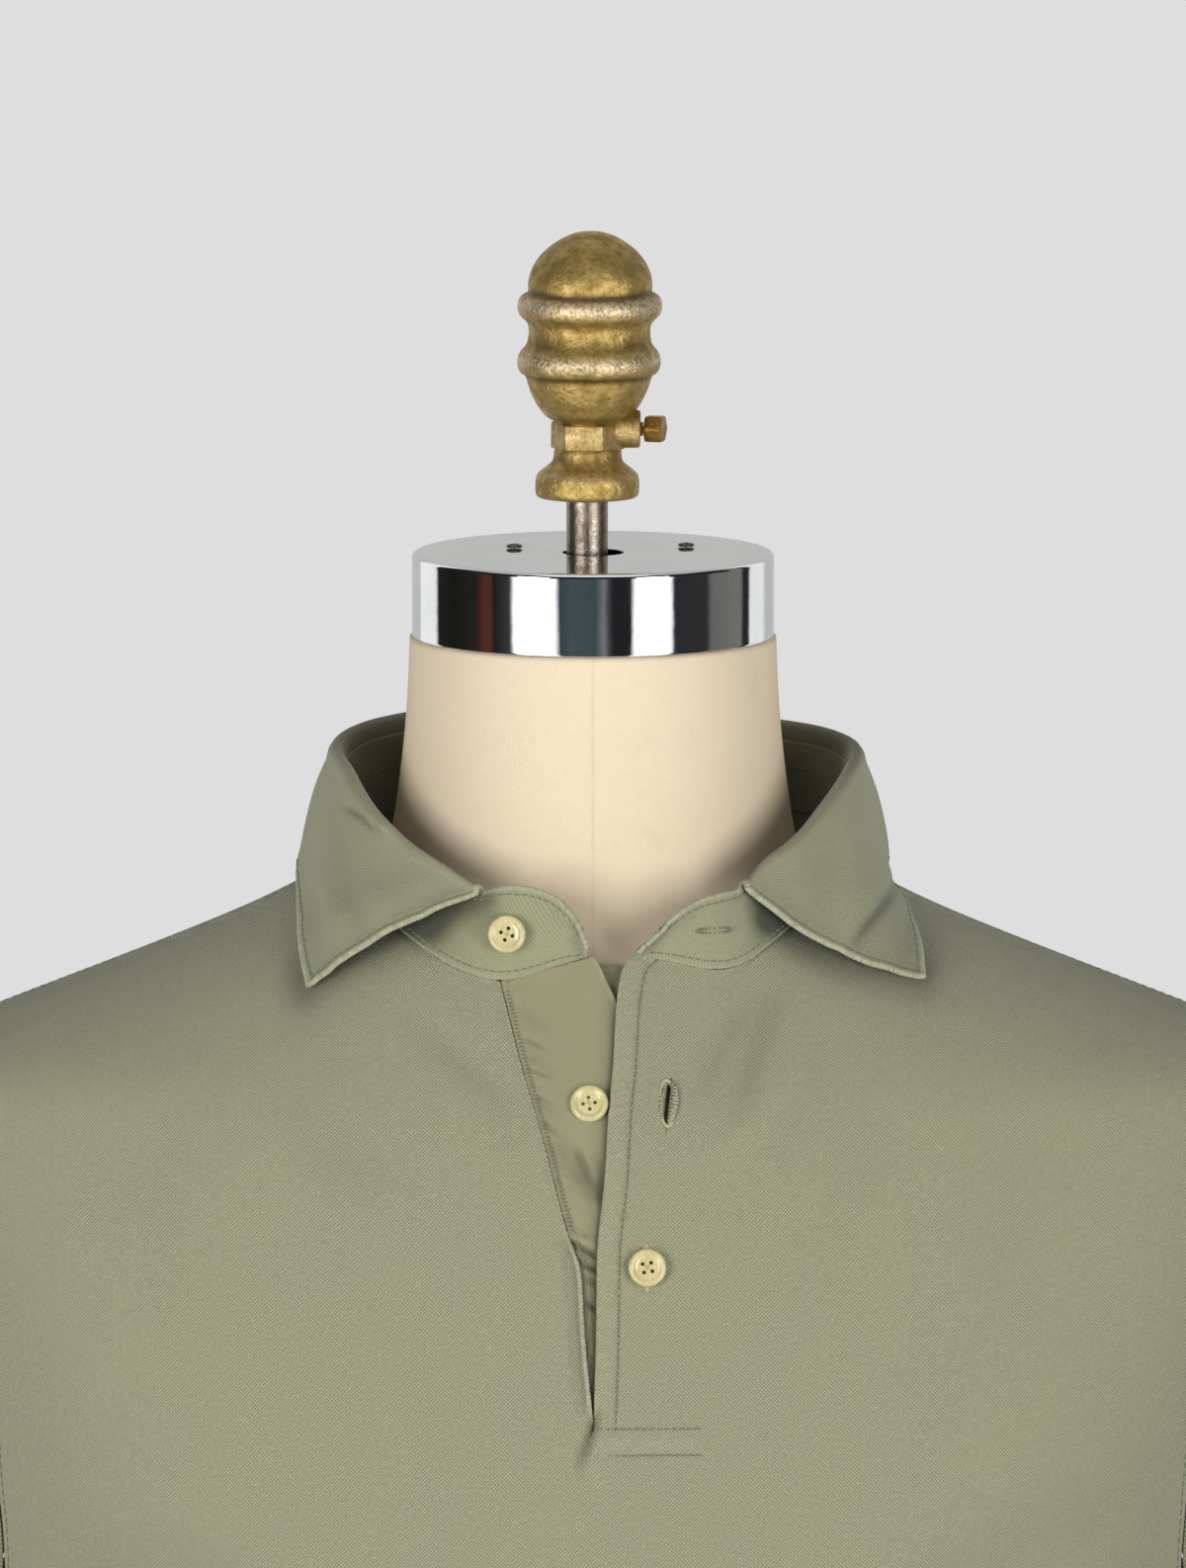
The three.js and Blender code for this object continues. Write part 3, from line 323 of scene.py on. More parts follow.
def meshPiece(name, points, faces, uv, wear, wrap, pucker):
    piece = linkMesh(name, points, np.asarray(faces).tolist())
    corners = np.zeros(len(piece.data.loops), np.int32)
    piece.data.loops.foreach_get("vertex_index", corners)
    spots = np.asarray(uv)[corners]
    if wrap:  # a face across the join of a tube reads on, not back
        byFace = spots[:, 0].reshape(-1, 4)
        byFace[byFace < byFace.max(axis=1, keepdims=True) - wrap / 2] += wrap
    layer = piece.data.uv_layers.new(name="clothMm")
    layer.data.foreach_set("uv", (spots * 0.01).ravel().astype(np.float32))
    setPointValues(piece, "wear", wear)
    setPointValues(piece, "pucker", pucker)
    return piece


def finishPiece(piece, material, slotName, *nodes):
    piece.data.materials.clear()
    piece.data.materials.append(material)
    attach(piece, "root")
    if nodes:
        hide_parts(*nodes)
    return piece


def arcLengths(grid):
    # how far each point of a grid lies along its row and down its column
    return runLengths(grid, 1), runLengths(grid)


# sewing thread

threadLook = dict(radius=0.3, lift=0.16, sides=5, ringPlaces=(-0.5, -0.2, 0.2, 0.5),
                  ringSizes=(0.35, 1, 1, 0.35))


def stitchesAt(centres, along, normals, length, radius=None):
    # short rounded lengths of thread lying on the cloth
    radius = radius or threadLook["radius"]
    side = unit(np.cross(normals, along))
    up = unit(np.cross(along, side))
    turns = np.linspace(0, 2 * math.pi, threadLook["sides"], endpoint=False)
    rings = []
    for place, size in zip(threadLook["ringPlaces"], threadLook["ringSizes"]):
        spot = centres + along * length * place + normals * (threadLook["lift"] - abs(place) * 0.25)
        ring = (spot[:, None] + side[:, None] * (np.cos(turns) * radius * size)[None, :, None]
                + up[:, None] * (np.sin(turns) * radius * size * 0.8)[None, :, None])
        rings.append(ring)
    points = np.stack(rings, axis=1)  # stitch, ring, side
    stitches, ringCount, sides = points.shape[:3]
    index = np.arange(stitches * ringCount * sides).reshape(stitches, ringCount, sides)
    around = np.roll(index, -1, axis=2)
    quads = np.stack([index[:, :-1], around[:, :-1], around[:, 1:], index[:, 1:]], axis=-1)
    faces = quads.reshape(-1, 4).tolist()
    faces += index[:, 0, ::-1].tolist() + index[:, -1].tolist()
    return points.reshape(-1, 3), faces


def stitchRow(points, normals, pitch=2.7, length=2.1, slant=0.0):
    # evenly spaced stitches along a line on the cloth; slant turns them for overlock
    points, normals = np.asarray(points), np.asarray(normals)
    run = runLengths(points)
    spots = np.arange(pitch / 2, run[-1], pitch)
    readAt = lambda a, at: np.stack([np.interp(at, run, a[:, k]) for k in range(3)], axis=1)
    centres, facing = readAt(points, spots), unit(readAt(normals, spots))
    along = unit(readAt(points, np.minimum(spots + 0.4, run[-1])) - readAt(points, spots - 0.4))
    if slant:
        along = unit(along * math.cos(slant) + np.cross(facing, along) * math.sin(slant))
    return stitchesAt(centres, along, facing, length)


def threadPiece(name, rows, material, slotName="pique"):
    points, faces, shift = [], [], 0
    for rowPoints, rowFaces in rows:
        points.append(rowPoints)
        faces += [[i + shift for i in face] for face in rowFaces]
        shift += len(rowPoints)
    return finishPiece(linkMesh(name, np.vstack(points), faces), material, slotName)


# shader helpers

def feed(tree, socket, value):
    # a socket takes a link from another node, or a plain value
    if isinstance(value, bpy.types.NodeSocket):
        tree.links.new(value, socket)
    else:
        socket.default_value = value


def addNode(tree, kind, settings=None, **inputs):
    # inputs go by name, or by number as i0, i1 and so on
    made = tree.nodes.new("ShaderNode" + kind)
    for key, value in (settings or {}).items():
        setattr(made, key, value)
    for key, value in inputs.items():
        socket = int(key[1:]) if key[1:].isdigit() else key.replace("_", " ")
        feed(tree, made.inputs[socket], value)
    return made


def calc(tree, operation, first, second=0.0, third=0.0):
    return addNode(tree, "Math", dict(operation=operation), i0=first, i1=second, i2=third).outputs[0]


def mixColour(tree, mask, first, second):
    return addNode(tree, "Mix", dict(data_type="RGBA"), Factor=mask, i6=first, i7=second).outputs[2]


def noise(tree, place, scale, detail, **more):
    return addNode(tree, "TexNoise", Vector=place, Scale=scale, Detail=detail, **more).outputs["Fac"]


def ranged(tree, value, *limits):
    # a low and a high limit become 0 and 1, or a third and fourth limit
    return addNode(tree, "MapRange", Value=value,
                   **{f"i{k + 1}": limit for k, limit in enumerate(limits)}).outputs[0]


def objectPlace(tree):
    return addNode(tree, "TexCoord").outputs["Object"]


def painted(tree, name):
    return addNode(tree, "Attribute", dict(attribute_name=name)).outputs["Fac"]


def newGroup(name, inputs, outputs):
    group = bpy.data.node_groups.new(name, "ShaderNodeTree")
    for socketName, kind, value in inputs:
        socket = group.interface.new_socket(socketName, in_out="INPUT", socket_type="NodeSocket" + kind)
        if value is not None:
            socket.default_value = value
    for socketName, kind in outputs:
        group.interface.new_socket(socketName, in_out="OUTPUT", socket_type="NodeSocket" + kind)
    return group, group.nodes.new("NodeGroupInput").outputs, group.nodes.new("NodeGroupOutput").inputs


def useGroup(tree, group, **inputs):
    return addNode(tree, "Group", dict(node_tree=group), **inputs).outputs


def srgb(r, g, b):
    return tuple(((c / 255 + 0.055) / 1.055) ** 2.4 if c > 10 else c / 255 / 12.92
                 for c in (r, g, b)) + (1.0,)


# shader groups

def makeKnitGroup():
    # raised stitches in offset rows; vector is in hundredths of the cloth's millimetres
    group, given, out = newGroup("knitStitches", [
        ("Vector", "Vector", None), ("Stitch", "Float", 1.25), ("Uneven", "Float", 0.35)],
        [("Height", "Float"), ("Thread", "Float")])
    place = given["Vector"]
    softWarp = addNode(group, "TexNoise", Vector=place, Scale=22.0, Detail=2.0).outputs["Color"]
    push = addNode(group, "VectorMath", dict(operation="MULTIPLY_ADD"), i0=softWarp,
                   i1=(0.008, 0.008, 0.0), i2=place)
    parts = addNode(group, "SeparateXYZ", Vector=push.outputs[0]).outputs
    turnRate = calc(group, "DIVIDE", 100 * 2 * math.pi, given["Stitch"])
    across, down = (calc(group, "COSINE", calc(group, "MULTIPLY", parts[axis], turnRate)) for axis in "XY")
    lattice = calc(group, "MULTIPLY_ADD", calc(group, "MULTIPLY", down, across), 0.5, 0.5)
    fuzz = calc(group, "SUBTRACT", noise(group, place, 170.0, 3.0, Roughness=0.6), 0.5)
    loose = calc(group, "MULTIPLY", fuzz, given["Uneven"])
    feed(group, out["Height"], calc(group, "ADD", lattice, calc(group, "MULTIPLY", loose, 1.2)))
    feed(group, out["Thread"], calc(group, "ADD", lattice, loose))
    return group


def makeDyeAndShadingGroup():
    # garment dye: slow uneven patches and flecks, painted highlight on the raised stitches, paler where the
    # given value is positive (edges paled by rubbing, and painted highlight), and painted shade where it is
    # negative
    group, given, out = newGroup("garmentDyeAndShading", [
        ("Vector", "Vector", None), ("Ground", "Color", (0.3, 0.32, 0.2, 1)),
        ("Patch", "Color", (0.28, 0.3, 0.19, 1)), ("Fleck", "Color", (0.4, 0.42, 0.3, 1)),
        ("Worn", "Color", (0.45, 0.47, 0.33, 1)), ("Wear", "Float", 0.0), ("Thread", "Float", 0.5)],
        [("Color", "Color")])
    place, wear = given["Vector"], given["Wear"]
    patch = ranged(group, noise(group, place, 1.3, 4.0, Roughness=0.6), 0.38, 0.64)
    ground = mixColour(group, patch, given["Ground"], given["Patch"])
    fleck = ranged(group, noise(group, place, 60.0, 3.0), 0.45, 0.8)
    # painted highlight: the raised stitches are coloured paler, with a few flecks mixed in
    stitchHighlight = ranged(group, given["Thread"], 0.2, 0.85)
    raised = calc(group, "MULTIPLY_ADD", stitchHighlight, 0.88, calc(group, "MULTIPLY", fleck, 0.12))
    fleckedAndHighlit = mixColour(group, calc(group, "MINIMUM", raised, 1.0), ground, given["Fleck"])
    # paler where the value is positive: edges paled by rubbing, and painted highlight
    broken = ranged(group, noise(group, place, 48.0, 4.0), 0.3, 0.62)
    rubbedAndHighlit = calc(group, "MAXIMUM", calc(group, "MULTIPLY", wear, broken), 0.0)
    worn = mixColour(group, rubbedAndHighlit, fleckedAndHighlit, given["Worn"])
    # painted shade: negative values darken towards near black
    paintedShade = calc(group, "MAXIMUM", calc(group, "MULTIPLY", wear, -1.0), 0.0)
    feed(group, out["Color"], mixColour(group, paintedShade, worn, (0.02, 0.021, 0.01, 1)))
    return group


def makeCastGroup():
    # cast or turned metal with age: pits, slow stains and fine specks
    group, given, out = newGroup("agedMetal", [
        ("Vector", "Vector", None), ("Grain", "Float", 300.0), ("Stain", "Float", 20.0)],
        [("Height", "Float"), ("Stains", "Float"), ("Specks", "Float")])
    place, grain = given["Vector"], given["Grain"]
    fine = noise(group, place, grain, 5.0, Roughness=0.65)
    pits = addNode(group, "TexVoronoi", Vector=place, Scale=calc(group, "MULTIPLY", grain, 0.6))
    dips = ranged(group, pits.outputs["Distance"], 0.0, 0.35)
    feed(group, out["Height"], calc(group, "MULTIPLY_ADD", dips, 0.25, fine))
    feed(group, out["Stains"], noise(group, place, given["Stain"], 5.0, Roughness=0.62))
    feed(group, out["Specks"], fine)
    return group


knitStitches = makeKnitGroup()
garmentDyeAndShading = makeDyeAndShadingGroup()
agedMetal = makeCastGroup()


# finishes

def newMaterial(name, **sockets):
    material = bpy.data.materials.new(name)
    material.use_nodes = True
    shader = material.node_tree.nodes["Principled BSDF"]
    for key, value in sockets.items():
        shader.inputs[key.replace("_", " ")].default_value = value
    return material, material.node_tree, shader


def addBump(tree, shader, height, distance):
    made = addNode(tree, "Bump", Height=height, Distance=distance)
    feed(tree, shader.inputs["Normal"], made.outputs["Normal"])


sageCloth = dict(sheen=0.25, sheenRough=0.6, pucker=0.0011)


# fleck is the colour of the flecks and of the painted highlight on the raised stitches; the fourth colour is
# for edges paled by rubbing and for painted highlight
def makeClothMaterial(name, ground, patch, fleck, worn, relief, stitch, uneven=0.35):
    material, tree, shader = newMaterial(name, Specular_IOR_Level=0.25, Sheen_Weight=sageCloth["sheen"],
                                         Sheen_Roughness=sageCloth["sheenRough"])
    place = addNode(tree, "UVMap", dict(uv_map="clothMm")).outputs["UV"]
    knit = useGroup(tree, knitStitches, Vector=place, Stitch=stitch, Uneven=uneven)
    dye = useGroup(tree, garmentDyeAndShading, Vector=place, Ground=ground, Patch=patch, Fleck=fleck, Worn=worn,
                   Wear=painted(tree, "wear"), Thread=knit["Thread"])
    feed(tree, shader.inputs["Base Color"], dye["Color"])
    feed(tree, shader.inputs["Roughness"], ranged(tree, knit["Thread"], 0, 1, 0.97, 0.86))
    # small pulls beside the stitching
    pulls = calc(tree, "MULTIPLY", noise(tree, place, 36.0, 1.5), painted(tree, "pucker"))
    lift = calc(tree, "MULTIPLY", pulls, sageCloth["pucker"])
    addBump(tree, shader, calc(tree, "MULTIPLY_ADD", knit["Height"], relief, lift), 1.0)
    return material


piqueKnit = makeClothMaterial(
    "sagePique", srgb(115, 119, 87), srgb(108, 114, 87), srgb(194, 192, 158), srgb(194, 194, 162),
    relief=0.00036, stitch=1.12, uneven=0.25)
collarKnit = makeClothMaterial(
    "sageCollar", srgb(139, 140, 106), srgb(128, 133, 103), srgb(168, 168, 135), srgb(192, 192, 161),
    relief=0.0002, stitch=1.0)
placketJersey = makeClothMaterial(
    "sageJersey", srgb(140, 137, 104), srgb(133, 132, 102), srgb(158, 154, 121), srgb(178, 175, 146),
    relief=0.00008, stitch=0.7, uneven=0.6)


def makeThreadMaterial(name, light, dark):
    material, tree, shader = newMaterial(name, Roughness=0.7, Sheen_Weight=0.3)
    fibre = noise(tree, objectPlace(tree), 2600.0, 3.0)
    feed(tree, shader.inputs["Base Color"], mixColour(tree, fibre, dark, light))
    addBump(tree, shader, fibre, 0.00008)
    return material


sageThread = makeThreadMaterial("sageThread", srgb(132, 137, 108), srgb(88, 95, 70))
tickThread = makeThreadMaterial("tickThread", srgb(122, 121, 90), srgb(92, 93, 66))
paleThread = makeThreadMaterial("paleThread", srgb(196, 190, 148), srgb(150, 148, 112))


def makeShellMaterial():
    material, tree, shader = newMaterial(
        "paleShell", Subsurface_Weight=0.15, Subsurface_Radius=(0.002, 0.0018, 0.001), Coat_Weight=0.5,
        Coat_Roughness=0.08)
    place = objectPlace(tree)
    cloud = noise(tree, place, 260.0, 4.0)
    waves = addNode(tree, "TexWave", Vector=place, Scale=190.0, Distortion=9.0, Detail=3.0).outputs["Fac"]
    warm = mixColour(tree, cloud, srgb(186, 172, 112), srgb(222, 212, 162))
    streaked = mixColour(tree, calc(tree, "MULTIPLY", waves, 0.12), warm, srgb(238, 234, 200))
    feed(tree, shader.inputs["Base Color"], streaked)
    feed(tree, shader.inputs["Roughness"], ranged(tree, cloud, 0, 1, 0.12, 0.3))
    addBump(tree, shader, cloud, 0.00002)
    return material


canvasWeave = dict(neckRadius=0.058, thread=0.00085, relief=0.00012)


def makeCanvasMaterial():
    material, tree, shader = newMaterial("creamCanvas", Roughness=0.85, Specular_IOR_Level=0.3)
    place = objectPlace(tree)
    x, y, z = addNode(tree, "SeparateXYZ", Vector=place).outputs
    turn = calc(tree, "ARCTAN2", x, calc(tree, "MULTIPLY", y, -1.0))
    around = calc(tree, "MULTIPLY", turn, canvasWeave["neckRadius"])
    rate = 2 * math.pi / canvasWeave["thread"]
    warp, weft = (calc(tree, "SINE", calc(tree, "MULTIPLY", way, rate)) for way in (around, z))
    weave = calc(tree, "MULTIPLY_ADD", calc(tree, "MULTIPLY", warp, weft), 0.5, 0.5)
    woven = calc(tree, "MULTIPLY", weave, noise(tree, place, 420.0, 3.0))
    # darker towards the bottom of the neck, scuffs, dirt in the sewn seam, and painted shade from the shade
    # attribute where the collar crosses
    low = ranged(tree, z, 0.965, 0.9)
    scuff = ranged(tree, noise(tree, place, 55.0, 6.0, Roughness=0.7), 0.58, 0.8, 0, 0.5)
    seamLine = ranged(tree, calc(tree, "ABSOLUTE", x), 0.0007, 0.0002)
    seam = calc(tree, "MULTIPLY", seamLine,
                calc(tree, "MULTIPLY_ADD", noise(tree, place, 160.0, 3.0), 1.1, -0.15))
    colour = mixColour(tree, noise(tree, place, 14.0, 4.0), srgb(227, 208, 179), srgb(236, 220, 194))
    for mask, tint in ((calc(tree, "MULTIPLY", woven, 0.35), srgb(214, 193, 160)),
                       (calc(tree, "MULTIPLY", low, 0.15), srgb(204, 182, 142)),
                       (scuff, srgb(206, 190, 166)),
                       (calc(tree, "MULTIPLY", seam, 0.3), srgb(150, 134, 112)),
                       (painted(tree, "shade"), srgb(92, 84, 44))):
        colour = mixColour(tree, mask, colour, tint)
    feed(tree, shader.inputs["Base Color"], colour)
    addBump(tree, shader, woven, canvasWeave["relief"])
    return material


def makeMetalMaterial(name, bright, dull, stain, rough, relief, grain, staining, metalLow=1.0):
    material, tree, shader = newMaterial(name)
    aged = useGroup(tree, agedMetal, Vector=objectPlace(tree), Grain=grain, Stain=staining)
    tone = mixColour(tree, ranged(tree, aged["Stains"], 0.35, 0.68), dull, bright)
    specks = calc(tree, "MULTIPLY", ranged(tree, aged["Specks"], 0.52, 0.75), 0.6)
    feed(tree, shader.inputs["Base Color"], mixColour(tree, specks, tone, stain))
    feed(tree, shader.inputs["Roughness"], ranged(tree, aged["Stains"], 0.3, 0.7, rough[1], rough[0]))
    feed(tree, shader.inputs["Metallic"], ranged(tree, aged["Stains"], 0.3, 0.7, metalLow, 1.0))
    addBump(tree, shader, aged["Height"], relief)
    return material


def darkenBore(material, radius):
    # the bore through the cap is coloured near black, painted shade in the hole, and the plating faintly wavy
    tree = material.node_tree
    shader = tree.nodes["Principled BSDF"]
    place = objectPlace(tree)
    x, y, z = addNode(tree, "SeparateXYZ", Vector=place).outputs
    squares = calc(tree, "ADD", calc(tree, "MULTIPLY", x, x), calc(tree, "MULTIPLY", y, y))
    bore = calc(tree, "LESS_THAN", calc(tree, "SQRT", squares), radius)
    plated = shader.inputs["Base Color"].links[0].from_socket
    feed(tree, shader.inputs["Base Color"], mixColour(tree, bore, plated, (0.012, 0.011, 0.01, 1)))
    addBump(tree, shader, noise(tree, place, 95.0, 2.0), 0.00005)


def ageAndLightByHeight(material, bottom, top, dark, silvery):
    # a cast turning keeps dirt in its grooves and turns silvery on its crests from rubbing; the dark bands
    # also paint shade under the dome, the beads, the bowl and the hexagon and darken the dome, and the
    # silvery ones paint highlight on the bead tops, the hexagon and the flange
    tree = material.node_tree
    shader = tree.nodes["Principled BSDF"]
    place = objectPlace(tree)
    share = ranged(tree, addNode(tree, "SeparateXYZ", Vector=place).outputs["Z"], bottom, top)
    sparkle = ranged(tree, noise(tree, place, 900.0, 4.0), 0.38, 0.58)
    colour = shader.inputs["Base Color"].links[0].from_socket
    for bands, tint, broken in ((dark, srgb(62, 50, 20), 1.0), (silvery, srgb(222, 207, 186), sparkle)):
        ramp = addNode(tree, "ValToRGB", Fac=share)
        stops = ramp.color_ramp.elements
        stops[0].color = stops[-1].color = (0, 0, 0, 1)
        for height, half, strength in bands:
            for offset, level in ((-half, 0), (0, strength), (half, 0)):
                place = (capTop + height + offset - bottom / mm) / ((top - bottom) / mm)
                stops.new(place).color = (level, level, level, 1)
        colour = mixColour(tree, calc(tree, "MULTIPLY", ramp.outputs["Color"], broken), colour, tint)
    feed(tree, shader.inputs["Base Color"], colour)


capTop = 1020.0
# dark bands: dirt in the grooves and painted shade under the parts above them; pale bands: crests paled by
# rubbing and painted highlight
finialDirtAndShade = [(30, 3.5, 0.4), (42.5, 2.2, 0.35), (55.5, 1.5, 0.65), (66, 3.5, 0.5), (81.4, 2.0, 0.85),
              (92, 8.0, 0.3)]  # height above the cap, half width, strength
finialRubbedAndHighlight = [(24.6, 1.6, 0.3), (37, 4.5, 0.3), (60.6, 3.6, 0.95), (78.0, 3.8, 1.0)]

buttonShell = makeShellMaterial()
creamCanvas = makeCanvasMaterial()
agedBrass = makeMetalMaterial("agedBrass", srgb(208, 178, 112), srgb(150, 124, 64), srgb(104, 84, 38),
                              (0.36, 0.55), 0.0004, grain=700.0, staining=260.0, metalLow=0.85)
ageAndLightByHeight(agedBrass, 1.03, 1.125, finialDirtAndShade, finialRubbedAndHighlight)
# a darker copy of the brass for the set screw, painted shade
shadedBrass = makeMetalMaterial("shadedBrass", srgb(182, 142, 70), srgb(112, 84, 36), srgb(56, 40, 18),
                             (0.25, 0.42), 0.0004, grain=900.0, staining=200.0, metalLow=0.9)
wornSteel = makeMetalMaterial("wornSteel", srgb(168, 155, 142), srgb(106, 92, 80), srgb(62, 52, 42),
                              (0.22, 0.42), 0.00015, grain=1300.0, staining=200.0, metalLow=0.9)
mirrorChrome = makeMetalMaterial("mirrorChrome", srgb(232, 234, 235), srgb(222, 224, 226),
                                 srgb(206, 208, 212), (0.02, 0.06), 0.000001, grain=700.0, staining=40.0)
darkenBore(mirrorChrome, 0.0097)
darkSteel = makeMetalMaterial("darkSteel", srgb(120, 110, 104), srgb(70, 62, 58), srgb(40, 34, 30),
                              (0.2, 0.4), 0.0001, grain=1600.0, staining=300.0, metalLow=0.8)
satinPaint = makeMetalMaterial("satinBlack", srgb(52, 52, 54), srgb(40, 40, 42), srgb(62, 62, 64),
                               (0.45, 0.6), 0.00004, grain=900.0, staining=12.0)
print("finishes made")


# front and back panels

bodyCut = dict(underarm=682.0, shoulderTip=863.0, hem=216.0, slitBottom=763.0, slitShare=(8 / 12) ** 1.6,
               cloth=1.1, seamGap=0.4)

armhole = table("z front back", [
    (863, 0, 0), (857, -19, 12), (845, -34, 25), (825, -45, 38), (795, -52, 50), (760, -53, 55),
    (730, -49, 54), (707, -47, 48), (691, -34, 32), (682, 0, 0)])
slitLeft = table("z x", [(763, 0), (772, -0.9), (793, -2.8), (810, -3.8), (824, -8.6), (854, -16.9),
                         (871, -22.2), (896.4, -29.2)])
slitRight = table("z x", [(763, 0), (790, 0.9), (814, 1.2), (840, 3.7), (860, 4.9), (872, 6.2),
                          (891, 7.4), (900.7, 9.2), (904.7, 13)])
neckLeft = [(-76, 926), (-72.5, 921.5), (-66, 914.5), (-56, 907.5), (-42, 899.5), (-29.2, 896.4)]
neckRight = [(76, 926), (72.5, 921.5), (66, 914.5), (57, 908), (42, 899.3), (25, 902), (13, 904.7)]
neckBack = [(76, 926), (69.5, 926.5), (51.6, 926.7), (26.8, 926.7), (0, 926.7)]
placketTop = [(-0.6, 905.4), (-10, 902.3), (-20, 899.1)]

# soft creases seen on the photo's front, and like ones at the back: x, z at both ends
frontCreases = table("x0 z0 x1 z1 width depth", [
    (-58, 893, -25, 858, 4.5, -1.5), (-46, 886, -20, 842, 6, -0.8), (-80, 816, -42, 756, 7, -1.7),
    (-72, 834, -50, 770, 9, 0.9), (62, 894, 41, 856, 4.2, -1.8), (53, 893, 31, 860, 3.6, -1.3),
    (74, 888, 50, 842, 6, -1.5), (68, 882, 38, 834, 8, 1.1), (92, 862, 60, 800, 12, -1.2),
    (-96, 868, -64, 836, 10, -1.2), (0.2, 770, -3.2, 749, 1.5, -2.2), (3, 763, 3, 744, 3, 0.6),
    (20, 752, 66, 700, 12, -0.9), (-30, 742, -80, 690, 13, -0.9), (150, 850, 120, 800, 16, -1.0),
    (-150, 848, -118, 790, 16, -1.1), (178, 730, 96, 716, 11, -2.6), (180, 708, 110, 678, 12, -2.4),
    (-178, 728, -98, 712, 11, -2.6), (-180, 706, -112, 674, 12, -2.4), (-60, 640, 40, 560, 16, -1.6),
    (90, 600, 10, 520, 18, -1.8), (-110, 520, -30, 430, 16, -1.6)])
backCreases = table("x0 z0 x1 z1 width depth", [
    (-60, 905, -20, 884, 9, -0.8), (54, 903, 18, 880, 9, -0.8), (-150, 842, -100, 800, 16, -1.6),
    (150, 842, 100, 802, 16, -1.5), (-172, 742, -90, 730, 12, -2.8), (172, 744, 92, 726, 12, -2.8),
    (-176, 712, -84, 668, 13, -2.6), (176, 714, 86, 672, 13, -2.6), (-70, 640, 60, 600, 16, -2.0),
    (80, 580, -40, 530, 16, -2.2), (-90, 500, 40, 450, 17, -2.2)])


def creasePaint(x, z, creases, narrow, gain, broadGain):
    # painted shade in the creases' troughs and painted highlight on their ridges: narrow ones show as lines,
    # broad ones hardly
    sharp = [row for row in creases if row["width"] < narrow]
    broad = [row for row in creases if row["width"] >= narrow]
    return np.clip(gain * creaseDepth(x, z, sharp) + broadGain * creaseDepth(x, z, broad), -0.45, 0.18)


def creaseDepth(x, z, creases):
    depth = np.zeros_like(x)
    for c in creases:
        dx, dz = c["x1"] - c["x0"], c["z1"] - c["z0"]
        length = math.hypot(dx, dz)
        along = ((x - c["x0"]) * dx + (z - c["z0"]) * dz) / length
        bend = 0.06 * length * np.sin(math.pi * np.clip(along / length, 0, 1) + c["width"])
        off = ((x - c["x0"]) * dz - (z - c["z0"]) * dx) / length + bend
        fade = ease(along, -0.15 * length, 0.3 * length) * (1 - ease(along, 0.6 * length, 1.12 * length))
        depth += c["depth"] * bump(off, c["width"]) * fade
    return depth


def topEdge(s, neckRows):
    neckZ = neckRows[0][1]
    neck = lineThrough([(abs(x), 0, z) for x, z in neckRows])
    z = bodyCut["shoulderTip"] + (neckZ - bodyCut["shoulderTip"]) * np.clip(s / 0.5, 0, 1)
    around = evenPoints(neck, np.clip((s - 0.5) / 0.5, 0, 1))
    onNeck = s > 0.5
    return np.where(onNeck, around[:, 0], shirtHalf(z)), np.where(onNeck, around[:, 2], z)


def halfPatch(sign, isFront, neckRows, slitRows, s, t):
    # x and z of a half panel between shoulder and underarm, at every s and t
    cut = bodyCut
    armDepth = smoothThrough(armhole[::-1], "z", "front" if isFront else "back")
    topX, topZ = topEdge(s, neckRows)
    sideZ = cut["shoulderTip"] + (cut["underarm"] - cut["shoulderTip"]) * t
    sideX = widthAt(armDepth(sideZ), sideZ)
    endX, endZ = topEdge(np.array([1.0]), neckRows)
    slitT = np.clip(t / cut["slitShare"], 0, 1)
    lowT = np.clip((t - cut["slitShare"]) / (1 - cut["slitShare"]), 0, 1)
    midZ = endZ[0] + (cut["slitBottom"] - endZ[0]) * slitT + (cut["underarm"] - cut["slitBottom"]) * lowT
    midX = sign * smoothThrough(slitRows, "z", "x")(midZ) if slitRows else np.zeros_like(t)
    midX = np.where(t < cut["slitShare"], midX, 0)
    angle = math.pi / 2 * (1 - s) ** 1.3
    lowX = shirtHalf(cut["underarm"]) * np.sin(angle) ** (2 / shirtPower(cut["underarm"]))
    S, T = s[None, :], t[:, None]

    def blend(top, side, middle, bottom):
        return ((1 - S) * side[:, None] + S * middle[:, None] + (1 - T) * top[None] + T * bottom[None]
                - (1 - S) * (1 - T) * top[0] - S * (1 - T) * top[-1]
                - (1 - S) * T * bottom[0] - S * T * bottom[-1])
    return (blend(topX, sideX, midX, lowX),
            blend(topZ, sideZ, midZ, np.full_like(s, cut["underarm"])))


# columns at fixed distances from the middle edge, so that seams and stitch lines run beside it
edgeColumns = np.array([0, 0.35, 0.8, 1.4, 2.2, 3.2, 4.4, 5.6, 6.3, 6.7, 7.0, 7.3, 7.7, 8.4, 9.4, 10.8,
                        12.4, 14.2, 16, 17.1, 17.9, 18.3, 18.7, 19.5, 20.6, 22])
sideColumns = 66
upperRows = np.concatenate([[0, 0.0016, 0.004, 0.0075, 0.012, 0.017, 0.023],
                            np.linspace(0.03, 1, 136)])
lowerRows = np.linspace(0, 1, 66)[1:]


